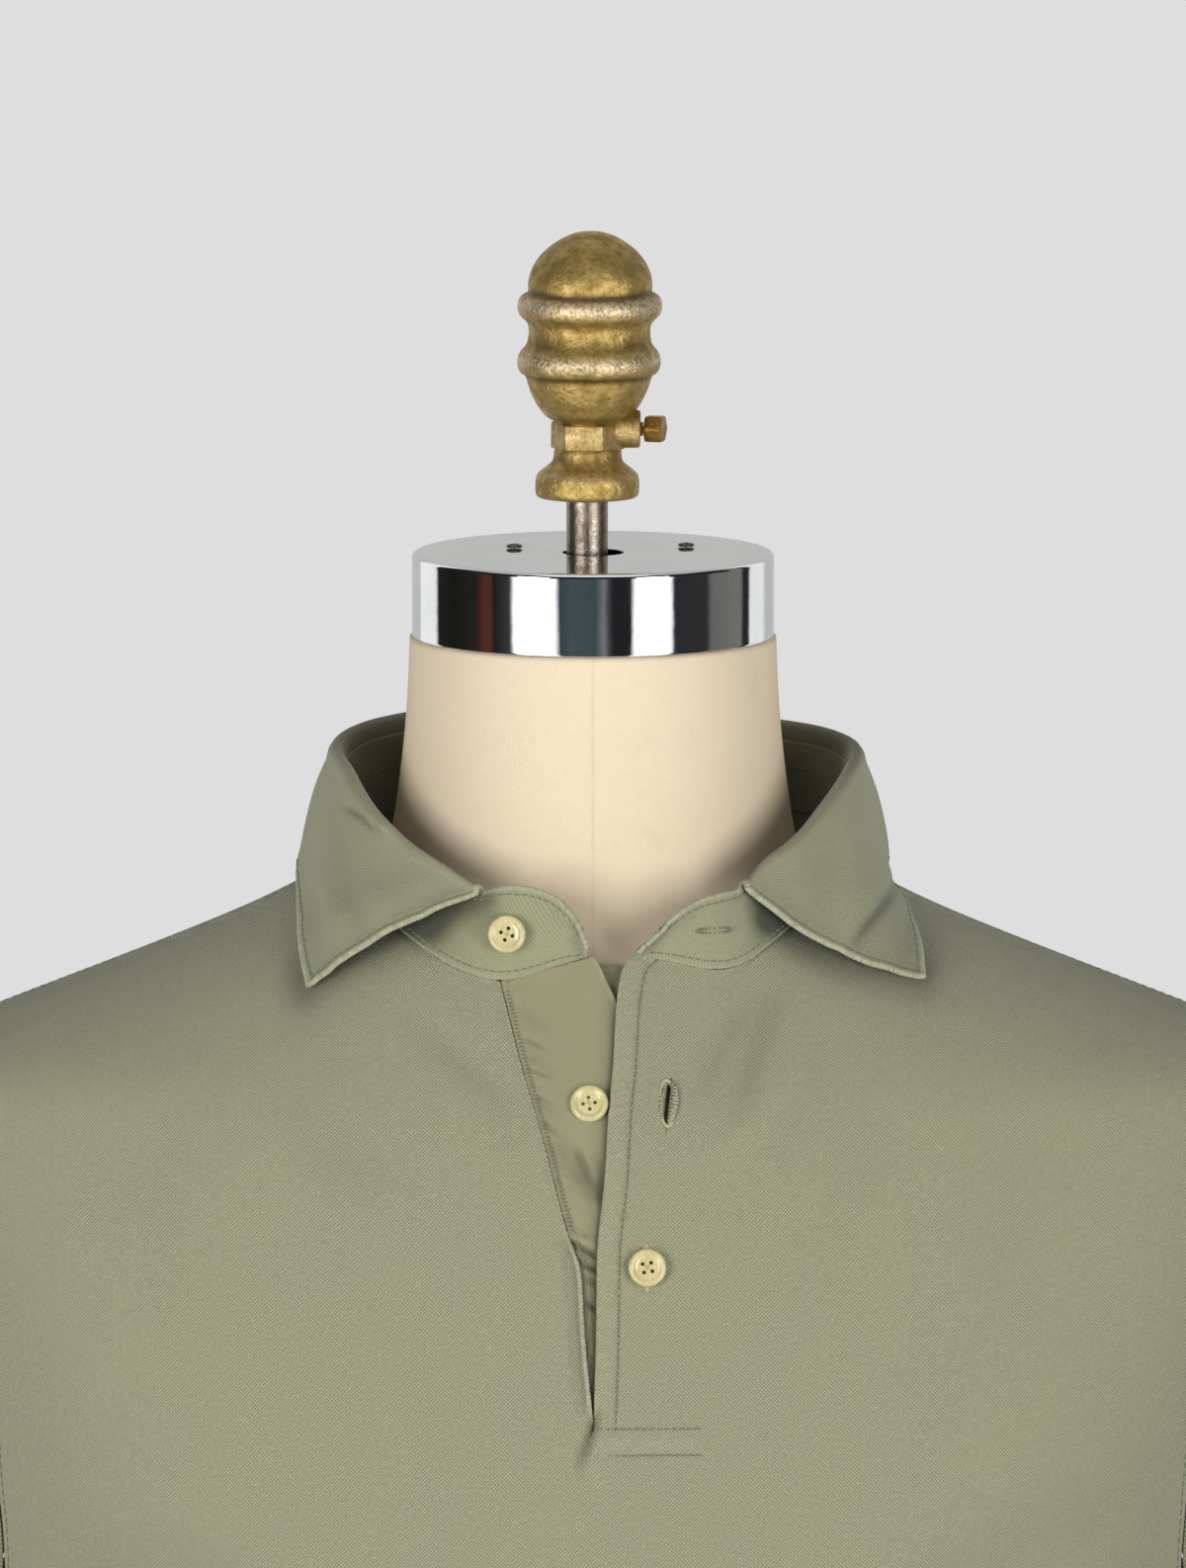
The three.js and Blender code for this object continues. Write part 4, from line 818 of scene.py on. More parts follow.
def halfPanel(sign, isFront, neckRows, slitRows):
    # rows of points from the middle out to the side, and how far each lies from the middle edge
    fineS = np.concatenate([[0], np.sort(1 - np.linspace(0, 1, 420)[:-1] ** 1.25)])
    fineX, fineZ = halfPatch(sign, isFront, neckRows, slitRows, fineS, upperRows)
    x, z, s = [], [], []
    for j in range(len(upperRows)):
        away = fineX[j] - fineX[j, -1]
        nearS = np.interp(edgeColumns, away[::-1], fineS[::-1])
        restS = nearS[-1] * (1 - np.linspace(0, 1, sideColumns + 1)[1:])
        rowS = np.concatenate([nearS, restS])
        s.append(rowS)
        x.append(np.interp(rowS, fineS, fineX[j]))
        z.append(np.interp(rowS, fineS, fineZ[j]))
    x, z, s = np.array(x), np.array(z), np.array(s)
    y = depthAt(x, z, isFront)
    upper = np.stack([sign * x, y, z], axis=-1)
    tables = clothTables(isFront)
    places = [clothPlaces(upper[..., 0], z, isFront, tables)]
    quarter = math.pi / 2 * (1 - s[-1]) ** 1.3
    angle = sign * (quarter if isFront else math.pi - quarter)
    rows = []
    for share in lowerRows:
        level = bodyCut["underarm"] + (bodyCut["hem"] - bodyCut["underarm"]) * share
        px, py = aroundSection(angle, *shirtSection(level))
        row = np.stack([px, py, np.full_like(px, level)], axis=-1)
        places.append(clothPlaces(row[None, :, 0], row[None, :, 2], isFront, tables))
        outward = faceNormals(row)
        outward[:, 2] = 0
        rows.append(row + unit(outward) * foldDepth(angle, level)[:, None])
    grid = np.concatenate([upper, np.array(rows)])
    apartAtSide(grid, isFront)
    away = np.abs(grid[..., 0] - grid[:, :1, 0])
    return grid, away, np.concatenate(places)


boxRows = (762.9, 754.8)


def shapeFront(grid, away, sign):
    # presses the front's creases, stitch lines and folded edges into its points
    normals = faceNormals(grid)
    x, z = grid[..., 0], grid[..., 2]
    depth = creaseDepth(x, z, frontCreases)
    slitOpen = ease(z, 760, 766)
    if sign > 0:
        puff = 0.35 * np.sin(np.clip(away / 7, 0, 1) * math.pi) * slitOpen
        groove = -0.32 * bump(away - 7, 0.55) * slitOpen
        roll = -1.0 * (1 - np.sqrt(np.clip(1 - np.clip(1 - away / 1.1, 0, 1) ** 2, 0, 1))) * slitOpen
        ripple = 0.1 * wander(z / 1.6, 3.1) * bump(away - 6.5, 3.0) * slitOpen
        depth += puff + groove + roll + ripple
        for level in boxRows:  # the two rows that close the slit's end
            depth += -0.4 * bump(z - level, 0.9) * ease(x, 0, 3) * (1 - ease(x, 33, 36))
        depth += 0.35 * bump(z - sum(boxRows) / 2, 2.6) * ease(x, 1, 5) * (1 - ease(x, 30, 36))
    else:
        lowFold = ease(z, 768, 776) * (1 - ease(z, 812, 830))
        ridge = 0.7 * bump(away - 0.8, 0.8) * lowFold - 0.5 * bump(away - 3.0, 1.3) * lowFold
        seam = -0.7 * bump(away, 0.9) * ease(z, 800, 830)
        pinch = 0.14 * wander(z / 1.8, 8.3) * bump(away, 4.0) * slitOpen
        depth += ridge + seam + pinch
    return grid + normals * depth[..., None]


def shapeNeckEdge(grid, depthDown):
    # the cloth dips where it is sewn under the collar band, with small pulls
    normals = faceNormals(grid)
    x = grid[..., 0]
    pulls = 0.25 * wander(x / 2.3, 5.5) * bump(depthDown - 3, 3.0)
    dip = -0.35 * bump(depthDown - 2.0, 0.9)
    return grid + normals * (pulls + dip)[..., None]


# the leaf's front edges as they pass over the chest, x and z, left and right
leafShades = [[(-33, 922), (-44, 917.5), (-53, 913.5), (-64.3, 907), (-75.7, 900.5), (-90, 890.5)],
              [(49, 919), (57, 910.5), (65, 905), (77.5, 899.4), (91, 896), (101.8, 893.4)]]


def shadeUnderLeaf(grid):
    # cloth lies in deep shade just below the collar's leaves
    x, z = grid[..., 0], grid[..., 2]
    nearest = np.full(x.shape, 99.0)
    for line in leafShades:
        stations = evenPoints(lineThrough([(a, b, 0) for a, b in line]), np.linspace(0, 1, 60), 200)
        for a, b, _ in stations:
            below = np.where(z < b, b - z, (z - b) * 0.35)
            nearest = np.minimum(nearest, np.hypot(x - a, below))
    deepest = 0.45 + 0.35 * bump(x + 48, 16) + 0.12 * bump(x - 62, 12)
    nooks = 0.6 * bump(x + 51, 7) * bump(z - 911, 6) + 0.5 * bump(x - 55, 6) * bump(z - 913.5, 5)
    shade = deepest * bump(nearest, 5.0) + 0.1 * bump(nearest, 12) + nooks
    return np.clip(shade, 0, 0.86) * (grid[..., 1] < 0)


def seamFeatures(grid, isFront):
    # grooves beside the shoulder and armhole seams, and a turned hem at the foot
    across, down = arcLengths(grid)
    normals = faceNormals(grid)
    fromSide = across[:, -1:] - across
    fromTop = down
    upper = (np.arange(grid.shape[0]) < len(upperRows))[:, None]
    sideStitch = -0.3 * bump(fromSide - 2.4, 0.8) * upper
    shoulder = (np.abs(grid[..., 0]) > 78) | (grid[..., 2] < 700)
    topStitch = -0.3 * bump(fromTop - 2.4, 0.8) * shoulder * (not isFront)
    fromHem = down[-1:] - down
    hem = 0.35 * (1 - ease(fromHem, 17, 20)) - 0.35 * bump(fromHem - 19, 0.9)
    return grid + normals * (sideStitch + topStitch + hem)[..., None], fromSide, fromTop, fromHem


def panelMarks(grid, away, fromSide, fromTop, fromHem, sign, isFront):
    # tone and pucker at every point: edges paled by rubbing, painted shadow under the collar, painted shade
    # in the creases, the stitch lines and beside the folded edges, and painted highlight on the crease
    # ridges, the puffed strips and the slit's folded edge
    x, z = grid[..., 0], grid[..., 2]
    creases = frontCreases if isFront else backCreases
    fromBox = z - sum(boxRows) / 2
    opened = ease(z, 764, 770) * isFront
    wear = 0.6 * bump(away, 0.8) * opened + 0.3 * bump(fromSide, 1.2) + 0.3 * bump(fromTop, 1.4)
    wear = np.clip(wear + 0.6 * bump(fromHem, 1.0), 0, 1) - shadeUnderLeaf(grid)
    wear = wear + creasePaint(x, z, creases, 4.3, 0.1, 0.02) + creasePaint(x, z, creases, 2.0, 0.12, 0)
    if isFront and sign > 0:
        # painted shade in the stitch line, painted highlight on the puffed strip beside the folded edge,
        # painted shade in the two box rows and painted highlight on the puffed band between them
        wear = wear - 0.26 * bump(away - 7, 0.55) * opened + 0.14 * bump(away - 3, 3) * opened
        for level in boxRows:
            wear = wear - 0.08 * bump(z - level, 0.9) * ease(x, 0, 2) * (1 - ease(x, 32, 34))
        wear = wear + 0.14 * bump(fromBox, 3.0) * ease(x, 0, 4) * (1 - ease(x, 30, 35))
    elif isFront:
        # the left slit's folded edge: painted highlight on its ridge, painted shade in the line beside it and
        # softer painted shade further out; higher up, painted shade in the seam where the under placket is
        # sewn on
        lowFold = ease(z, 764, 772) * (1 - ease(z, 814, 826))
        fold = (0.5 * bump(away - 0.6, 0.35) - 0.38 * bump(away - 1.7, 0.6) - 0.14 * bump(away - 3.6, 2.0))
        wear = wear + fold * lowFold - 0.3 * bump(away - 0.4, 0.7) * ease(z, 822, 834)
    stitched = opened * (bump(away - 4.2, 3.2) if sign > 0 else 0.5 * bump(away, 3.0))
    boxed = bump(fromBox, 5) * ease(x, 0, 4) * (1 - ease(x, 31, 37)) * isFront
    pucker = (stitched + 0.5 * boxed + 0.6 * bump(fromSide - 1.5, 2.5) + 0.6 * bump(fromTop - 2, 3.5)
              + 0.5 * bump(fromHem - 18, 4))
    return np.stack([wear.ravel(), pucker.ravel()], axis=1)


def apartAtSide(grid, isFront):
    # the panels stop just short of each other
    gap = bodyCut["seamGap"] / 2
    grid[..., 1] = np.minimum(grid[..., 1], -gap) if isFront else np.maximum(grid[..., 1], gap)


def buildPanel(name, isFront):
    halves, uvs, marks, quads = [], [], [], []
    for k, (neckRows, slitRows) in enumerate(((neckLeft, slitLeft), (neckRight, slitRight))):
        sign = (-1, 1)[k]
        neckRows, slitRows = (neckRows, slitRows) if isFront else (neckBack, None)
        grid, away, places = halfPanel(sign, isFront, neckRows, slitRows)
        if isFront:
            grid = shapeFront(grid, away, sign)
        else:
            grid = grid + faceNormals(grid) * creaseDepth(grid[..., 0], grid[..., 2], backCreases)[..., None]
        grid = shapeNeckEdge(grid, arcLengths(grid)[1] + 99 * (np.abs(grid[..., 0]) > 78))
        grid, fromSide, fromTop, fromHem = seamFeatures(grid, isFront)
        apartAtSide(grid, isFront)
        halves.append((grid, away, fromSide, fromTop, fromHem))
        uvs.append(places.reshape(-1, 2))
        marks.append(panelMarks(*halves[-1], sign, isFront))
        rows, columns = grid.shape[:2]
        faces = gridFaces(rows, columns, k * rows * columns)
        quads.append(faces if (sign > 0) == isFront else faces[:, ::-1])
    points = np.vstack([half[0].reshape(-1, 3) for half in halves])
    quads, uvs, marks = np.vstack(quads), np.vstack(uvs), np.vstack(marks)
    # sew the halves together below the slit: the right half's middle points become the left's
    joined = np.arange(len(points))
    firstJoined = int(np.searchsorted(upperRows, bodyCut["slitShare"])) if isFront else 0
    for left in range(firstJoined * columns, rows * columns, columns):
        right = rows * columns + left
        points[left] = points[right] = (points[left] + points[right]) / 2
        points[left][0] = 0
        joined[right] = left
    quads = joined[quads]
    if isFront:
        points, quads, uvs, marks = openButtonhole(points, quads, uvs, marks, halves[1][0], rows, columns)
    used = np.unique(quads)
    renumber = np.zeros(len(points), int)
    renumber[used] = np.arange(len(used))
    piece = clothShell(name, points[used], renumber[quads], uvs[used], marks[used, 0], bodyCut["cloth"],
                       pucker=marks[used, 1])
    return piece, halves


openHole = dict(column=20, low=853.4, high=868.4, half=2.2)


def openButtonhole(points, quads, uvs, marks, grid, rows, columns):
    # parts the cloth along one column, as a lens, where the unfastened buttonhole gapes
    column, base = openHole["column"], rows * columns
    z = grid[:, column, 2]
    inside = np.where((z > openHole["low"]) & (z < openHole["high"]))[0]
    middle, reach = (openHole["low"] + openHole["high"]) / 2, (openHole["high"] - openHole["low"]) / 2
    spread = openHole["half"] * (1 - ((z[inside] - middle) / reach) ** 2)
    near = base + inside * columns + column
    copies = len(points) + np.arange(len(near))
    points = np.vstack([points, points[near]])
    uvs, marks = np.vstack([uvs, uvs[near]]), np.vstack([marks, marks[near]])
    points[near, 0] -= spread * 0.8
    points[copies, 0] += spread * 1.2
    marks[near, 0] = marks[copies, 0] = 0.6
    farSide = {int(a): int(b) for a, b in zip(near, copies)}
    outer = set((base + np.arange(rows) * columns + column + 1).tolist())
    for f, face in enumerate(quads):
        if any(int(v) in farSide for v in face) and any(int(v) in outer for v in face):
            quads[f] = [farSide.get(int(v), int(v)) for v in face]
    return points, quads, uvs, marks


frontPiece, frontHalves = buildPanel("frontPanelCloth", True)
finishPiece(frontPiece, piqueKnit, "pique", "front_panel")
backPiece, backHalves = buildPanel("backPanelCloth", False)
finishPiece(backPiece, piqueKnit, "pique", "back_panel")
print("panels made:", len(frontPiece.data.polygons), len(backPiece.data.polygons))


# sleeves

sleeveCut = dict(round=96, rows=70, gap=0.9, cloth=1.1, leave=0.32, arrive=0.34, knitRadius=60)
cuff = dict(centre=(265, -4, 612), along=(0.26, -0.02, -0.965), wide=67, deep=40)
sleeveStarts = dict(top=(0.93, 0, -0.37), front=(0.6, -0.3, -0.74), back=(0.6, 0.3, -0.74),
                    under=(0.5, 0, -0.87))
sleeveCreases = table("turn share turn2 share2 width depth", [
    (1.2, 0.10, 2.6, 0.45, 0.10, -2.6), (0.7, 0.22, 2.3, 0.62, 0.09, -2.0),
    (-1.2, 0.12, -2.5, 0.5, 0.10, -2.6), (-0.8, 0.3, -2.2, 0.68, 0.09, -1.8),
    (2.6, 0.3, 1.4, 0.9, 0.12, -1.6), (-2.6, 0.34, -1.5, 0.92, 0.12, -1.6)])


def sleeveEnds():
    # points on the armhole and the cuff, and the way the cloth leaves the armhole, from the top round
    # by the front to the underarm and up the back
    half = sleeveCut["round"] // 2
    along = unit(np.array(cuff["along"], float))
    wide = unit(np.array([-along[2], 0, along[0]]))
    rows = []
    for side, way, steps in (("front", -1, range(half + 1)), ("back", 1, range(half - 1, 0, -1))):
        stations = [(widthAt(np.float64(row[side]), np.float64(row["z"])), row[side], row["z"])
                    for row in armhole]
        edge = evenPoints(lineThrough(stations), np.linspace(0, 1, half + 1))
        top, bend, under = (np.array(sleeveStarts[key], float) for key in ("top", side, "under"))
        for step in steps:
            share = step / half
            turn = share * math.pi
            leave = unit(top * (1 - share) ** 2 + 2 * bend * share * (1 - share) + under * share ** 2)
            end = (np.array(cuff["centre"], float) + wide * cuff["wide"] * math.cos(turn)
                   + np.array([0, way * cuff["deep"] * math.sin(turn), 0]))
            rows.append((edge[step] + leave * sleeveCut["gap"], end, leave))
    starts, ends, leaving = (np.array(column) for column in zip(*rows))
    return starts, ends, leaving, along


def sleeveDepth(turns, down, fromCuff):
    # slanting creases from the underarm, and the turned hem
    depth = 0.0
    for c in sleeveCreases:
        dt, ds = c["turn2"] - c["turn"], (c["share2"] - c["share"]) * 2
        size = math.hypot(dt, ds)
        run = ((turns - c["turn"]) * dt + (down - c["share"]) * 2 * ds) / size ** 2
        off = ((turns - c["turn"]) * ds - (down - c["share"]) * 2 * dt) / size
        depth = depth + (c["depth"] * bump(off, c["width"] * 2) * ease(run, -0.1, 0.3)
                         * (1 - ease(run, 0.6, 1.1)))
    depth = depth * ease(down, 0.02, 0.12) * (1 - 0.6 * ease(down, 0.75, 0.95))
    return depth + 0.3 * (1 - ease(fromCuff, 17, 20)) - 0.35 * bump(fromCuff - 19, 1.0)


def buildSleeve(name, sign):
    cut = sleeveCut
    starts, ends, leaving, along = sleeveEnds()
    length = np.linalg.norm(ends - starts, axis=1, keepdims=True)
    nearStart, nearEnd = starts + leaving * length * cut["leave"], ends - along * length * cut["arrive"]
    down = np.linspace(0, 1, cut["rows"] + 1)[:, None]
    t = down[..., None]
    grid = (starts * (1 - t) ** 3 + 3 * nearStart * t * (1 - t) ** 2 + 3 * nearEnd * t ** 2 * (1 - t)
            + ends * t ** 3)
    turns = np.linspace(0, 2 * math.pi, cut["round"], endpoint=False)[None]
    turns = np.where(turns > math.pi, turns - 2 * math.pi, turns)
    sleeveLength = float(length.mean())
    fromCuff = (1 - down) * sleeveLength
    closed = np.concatenate([grid, grid[:, :1]], axis=1)
    flow = np.cross(np.gradient(closed, axis=0), np.gradient(closed, axis=1))
    flow *= np.sign(np.sum(flow * (closed - closed.mean(axis=1, keepdims=True))))
    outward = unit(flow)[:, :-1]
    mirror = np.array([sign, 1, 1])
    grid = (grid + outward * sleeveDepth(turns, down, fromCuff)[..., None]) * mirror
    points, quads = grid.reshape(-1, 3), tubeFaces(np.arange(grid[..., 0].size).reshape(grid.shape[:2]))
    if np.sum(vertexNormals(points, quads) * (outward * mirror).reshape(-1, 3)) < 0:
        quads = quads[:, ::-1]
    fallen = arcLengths(grid)[1]
    uv = np.stack([turns * cut["knitRadius"] + 0 * fallen, -fallen], axis=-1).reshape(-1, 2)
    wear = 0.6 * bump(fromCuff, 1.2) + 0.25 * bump(down * sleeveLength, 1.5) + 0 * fallen
    return clothShell(name, points, quads, uv, np.clip(wear, 0, 1).ravel(), cut["cloth"],
                      wrap=2 * math.pi * cut["knitRadius"])


leftSleeve = finishPiece(buildSleeve("sleeveLeftCloth", -1), piqueKnit, "pique", "sleeve_left")
rightSleeve = finishPiece(buildSleeve("sleeveRightCloth", 1), piqueKnit, "pique", "sleeve_right")
print("sleeves made")


# collar

collarCut = dict(cloth=1.6, bandLift=0.8, bandSunk=2.2, layerGap=0.7, bandRows=18, bandSteps=420,
                 leafSteps=330, fallRows=34, rollRows=9, seamEased=9,
                 roll=[(0, 0), (0.04, 0.55), (0.22, 0.88), (0.5, 1), (0.8, 0.85), (1, 0.2)])

# stations from the left front end round the back to the right front end: where the band meets the
# neck seam from above, its upper edge, how far the leaf climbs, its free edge and its belly
collarStations = table("seam top rise edge sag", [
    ((-0.6, -84), (-0.9, -84, 907.4)),
    ((-5, -83.5), (-4.6, -82.5, 915.5)),
    ((-10, -82.5), (-10.5, -81, 922)),
    ((-18, -82), (-18.5, -79, 925)),
    ((-27, -81), (-27, -77.5, 925.2)),
    ((-38, -76.5), (-34, -74, 923), 3, (-88.6, -66, 893.5), -3),
    ((-47, -70.5), (-45, -65.5, 927.5), 4, (-91, -53, 903.5), -2),
    ((-56, -62.5), (-56, -53.5, 932.5), 5, (-91.8, -38, 912), 0),
    ((-66, -46.5), (-66.5, -39, 941), 5.5, (-92.3, -20, 918), 0),
    ((-73.2, -24), (-73.5, -20, 950), 6, (-92.5, -2, 920.5), 0),
    ((-75.2, 4), (-77, 6, 953.5), 6, (-91.5, 20, 920.5), 0),
    ((-69.5, 27), (-70, 29, 956.5), 6, (-84, 44, 920.5), 0),
    ((-51.6, 49.6), (-52, 48, 958), 6, (-62, 64, 921), 0),
    ((-26.8, 64.6), (-27, 59.5, 958.5), 6, (-33, 76, 921), 0),
    ((0, 69.2), (0, 62.5, 958), 6, (0, 80, 921), 0),
    ((26.8, 64.6), (27.5, 59.5, 957), 6, (34, 76, 920.5), 0),
    ((51.6, 49.6), (53, 48, 955.5), 6, (64, 64, 920), 0),
    ((69.5, 27), (72, 29, 954.5), 6, (86, 45, 919.5), 0),
    ((75.2, 4), (79, 6, 952.5), 6, (91.8, 20, 921), 0),
    ((73.2, -24), (76.5, -18, 949), 6, (92.4, -4, 920), 0),
    ((66, -46.5), (70, -35, 942), 5.5, (96.9, -23, 914.8), 0),
    ((58, -61.5), (60.5, -51, 933), 5, (100.4, -37, 907.8), 1),
    ((50, -68.5), (51.5, -61, 928), 4, (102, -46, 902.5), 3),
    ((41, -75.5), (45, -68.5, 923.5), 3, (102.5, -56, 894.8), 5),
    ((33, -79), (38, -75, 922.5)),
    ((25, -80.5), (31, -78, 920.5)),
    ((19, -82), (24, -80.5, 916)),
    ((15.5, -83), (18, -82.5, 910.5)),
    ((13, -83.5), (13.8, -83.5, 906.8))])


def neckSeamLine():
    def onPanel(rows, isFront):
        rows = np.array(rows, float)
        return np.stack([rows[:, 0], depthAt(rows[:, 0], rows[:, 1], isFront),
                         rows[:, 1] + collarCut["bandLift"]], axis=1)
    placket = onPanel(placketTop, True)
    placket = placket - faceNormals(placket) * collarCut["bandSunk"]
    backLeft = [(-x, z) for x, z in neckBack[1:-1]]
    stations = np.vstack([placket, onPanel(neckLeft[::-1], True), onPanel(backLeft, False),
                          onPanel(neckBack[::-1][:-1], False), onPanel(neckRight, True)])
    return evenPoints(lineThrough(stations), np.linspace(0, 1, 1400))


def buildBand():
    cut = collarCut
    shares = np.linspace(0, 1, cut["bandSteps"] + 1)
    neck = neckSeamLine()
    plan = lineThrough([row["seam"] for row in collarStations])(shares)
    low = neck[np.linalg.norm(neck[None, :, :2] - plan[:, None, :2], axis=2).argmin(axis=1)]
    evenOver = np.ones(2 * cut["seamEased"] + 1) / (2 * cut["seamEased"] + 1)
    low = np.stack([np.convolve(np.pad(column, cut["seamEased"], mode="edge"), evenOver, mode="valid")
                    for column in low.T], axis=1)
    top = lineThrough([row["top"] for row in collarStations])(shares)
    up = 0.5 - 0.5 * np.cos(math.pi * np.linspace(0, 1, cut["bandRows"] + 1))
    grid = low[None] + (top - low)[None] * up[:, None, None]
    quads = gridFaces(*grid.shape[:2])
    points = grid.reshape(-1, 3)
    normals = vertexNormals(points, quads)
    if np.sum(normals[:, :2] * points[:, :2]) < 0:
        quads, normals = quads[:, ::-1], -normals
    across, down = arcLengths(grid)
    fromEnd = np.minimum(across, across[:, -1:] - across)
    fromTop, fromSeam = down[-1:] - down, down
    depth = (0.22 * wander(across / 2.1, 4.0) * bump(fromTop - 1.5, 2.2)
             + 0.25 * wander(across / 3.1, 1.0) * bump(fromSeam - 1.5, 2.5)
             + 0.35 * wander(across / 9.0 + down / 7, 2.0) * ease(fromTop, 1, 6) * ease(fromSeam, 1, 6))
    for away, line in ((fromTop, 2.0), (fromEnd, 2.0), (fromSeam, 1.8)):  # dips along the stitching
        depth = depth - 0.22 * bump(away - line, 0.6)
    # the points lie on the side towards the neck, so the shell is made from the outer side
    outer = (points + normals * (cut["cloth"] + depth.ravel()[:, None])).reshape(grid.shape)
    x = outer[..., 0]
    wear = 0.5 * bump(fromTop, 0.6) + 0.5 * bump(fromEnd, 0.6) + 0.1 * bump(fromSeam, 0.8)
    wear = np.clip(wear, 0, 1) - shadeUnderLeaf(outer) * (1 - ease(x, -33, -24) * (1 - ease(x, 44, 52)))
    pucker = np.max([bump(fromTop - 2, 2.6), bump(fromEnd - 2, 2.6), bump(fromSeam - 2, 3.5)], axis=0)
    piece = clothShell("collarBandCloth", outer.reshape(-1, 3), quads,
                       np.stack([across, down], axis=-1).reshape(-1, 2), wear.ravel(), cut["cloth"],
                       pucker=pucker.ravel())
    return piece, outer, normals.reshape(grid.shape), grid


leafCreases = table("x0 z0 x1 z1 width depth", [
    (-78, 943.6, -65, 939, 0.85, -1.7), (-72, 941.6, -59, 938.2, 1.0, 1.0),
    (-85, 950, -77, 904, 3.0, 1.0), (-80, 948, -71, 904, 4.0, -1.0), (-70, 928, -62, 903, 4.0, 0.5),
    (-66, 930, -50, 908, 5.0, -0.5), (-88, 916, -80, 892, 3.0, -0.6), (94, 922, 81, 903, 1.6, -1.6),
    (90, 924, 76, 903, 2.6, 0.9), (97, 917, 92, 893, 3.0, 0.7), (74, 938, 66, 906, 6.0, -0.7),
    (84, 944, 78, 912, 5.0, 0.6), (60, 922, 70, 905, 4.0, -0.5)])


def buildLeaf():
    cut = collarCut
    stations = [row for row in collarStations if "edge" in row]
    tops = lineThrough([row["top"] for row in collarStations])
    first, last = (collarStations.index(stations[k]) / (len(collarStations) - 1) for k in (0, -1))
    even = np.linspace(0, 1, cut["leafSteps"] + 1)
    shares = even - 0.012 * np.sin(2 * math.pi * even)  # closer columns at both front edges
    topShares = first + (last - first) * shares
    top = tops(topShares)
    tangent = tops(topShares + 0.0005) - tops(topShares - 0.0005)
    outward = unit(np.stack([-tangent[:, 1], tangent[:, 0], tangent[:, 0] * 0], axis=1))
    edge = lineThrough([row["edge"] for row in stations])(shares)
    places = [dict(row, i=i) for i, row in enumerate(stations)]
    at = shares * (len(stations) - 1)
    rise = smoothThrough(places, "i", "rise")(at)[:, None]
    sag = smoothThrough(places, "i", "sag")(at)
    width = 4.2 + (rise - 3) * 0.66
    # over the roll, as shares of its width and rise, then down to the free edge
    rows = []
    for out, up in evenPoints(lineThrough(cut["roll"]), np.linspace(0, 1, cut["rollRows"] + 1)):
        base = cut["layerGap"] * (1 - up) * (out < 0.1)
        rows.append(top + outward * width * out + np.array([0, 0, 1.0]) * (rise * up + base))
    over = rows[-1]
    for share in np.linspace(0, 1, cut["fallRows"] + 1)[1:]:
        belly = 4 * share * (1 - share)
        row = over + (edge - over) * share + outward * 1.5 * belly
        row[:, 2] -= sag * belly
        rows.append(row)
    grid = np.array(rows)
    x, y, z = np.moveaxis(grid, -1, 0)
    quads, points = gridFaces(*grid.shape[:2]), grid.reshape(-1, 3)
    normals = vertexNormals(points, quads)
    if normals[(cut["rollRows"] + 10) * grid.shape[1] + cut["leafSteps"] // 2, 1] < 0:
        quads, normals = quads[:, ::-1], -normals
    across, down = arcLengths(grid)
    fromFront, fromEdge = np.minimum(across, across[:, -1:] - across), down[-1:] - down
    fallen, row = down / down[-1:], np.arange(len(grid))[:, None]
    depth = 0.5 * wander(across / 17 + down / 13, 2.2) * ease(fromEdge, 1, 8) * ease(fromFront, 2, 9)
    for away, pulls in ((fromEdge, wander(across / 2.3, 6.0)), (fromFront, wander(down / 2.1, 7.0))):
        depth = (depth - 0.32 * bump(away - 1.9, 0.5) + 0.12 * bump(away - 0.8, 0.6)
                 + 0.2 * pulls * bump(away - 2, 2.4))
    depth = np.where(row < cut["rollRows"], depth * 0.2, depth)
    # a short crease near the roll on the left, soft bends lower down on both sides
    depth = depth + creaseDepth(x, z, leafCreases) * (y < 30) * ease(fallen, 0.08, 0.2)
    points = points + normals * depth.ravel()[:, None]
    # paler along the front-facing free edges, from rubbing and painted highlight; painted shade in the stitch
    # lines, inside the roll, in the creases and on the right tip, and painted highlight on the crease ridges
    facing = 0.25 + 0.75 * ease(-y, 30, 55)
    rubbedAndHighlit = 0.75 * bump(fromEdge, 0.6) * facing + 0.75 * bump(fromFront, 0.6) + 0.3 * bump(down - 5.5, 1.2)
    creaseAndTipShading = creasePaint(x, z, leafCreases, 2.0, 0.3, 0.07) - 0.2 * bump(x - 96, 9) * bump(z - 902, 12)
    wear = (np.clip(rubbedAndHighlit, 0, 1) + creaseAndTipShading * (y < 30) * ease(fallen, 0.06, 0.16)
            - 0.3 * bump(fromEdge - 1.9, 0.5) * facing - 0.3 * bump(fromFront - 1.9, 0.5)
            - 0.6 * (1 - ease(row, 3, cut["rollRows"] - 1)))
    pucker = np.maximum(bump(fromEdge - 2, 2.6), bump(fromFront - 2, 2.6))
    piece = clothShell("collarLeafCloth", points, quads, np.stack([across, down], axis=-1).reshape(-1, 2),
                       wear.ravel(), cut["cloth"], bulge=1.0, rimWear=0.4, pucker=pucker.ravel())
    return piece, points.reshape(grid.shape), vertexNormals(points, quads).reshape(grid.shape)


bandPiece, bandGrid, bandNormals, bandInner = buildBand()
finishPiece(bandPiece, collarKnit, "collar_cloth", "collar_band")
leafPiece, leafGrid, leafNormals = buildLeaf()
finishPiece(leafPiece, collarKnit, "collar_cloth", "collar_leaf")
print("collar made")


# under placket

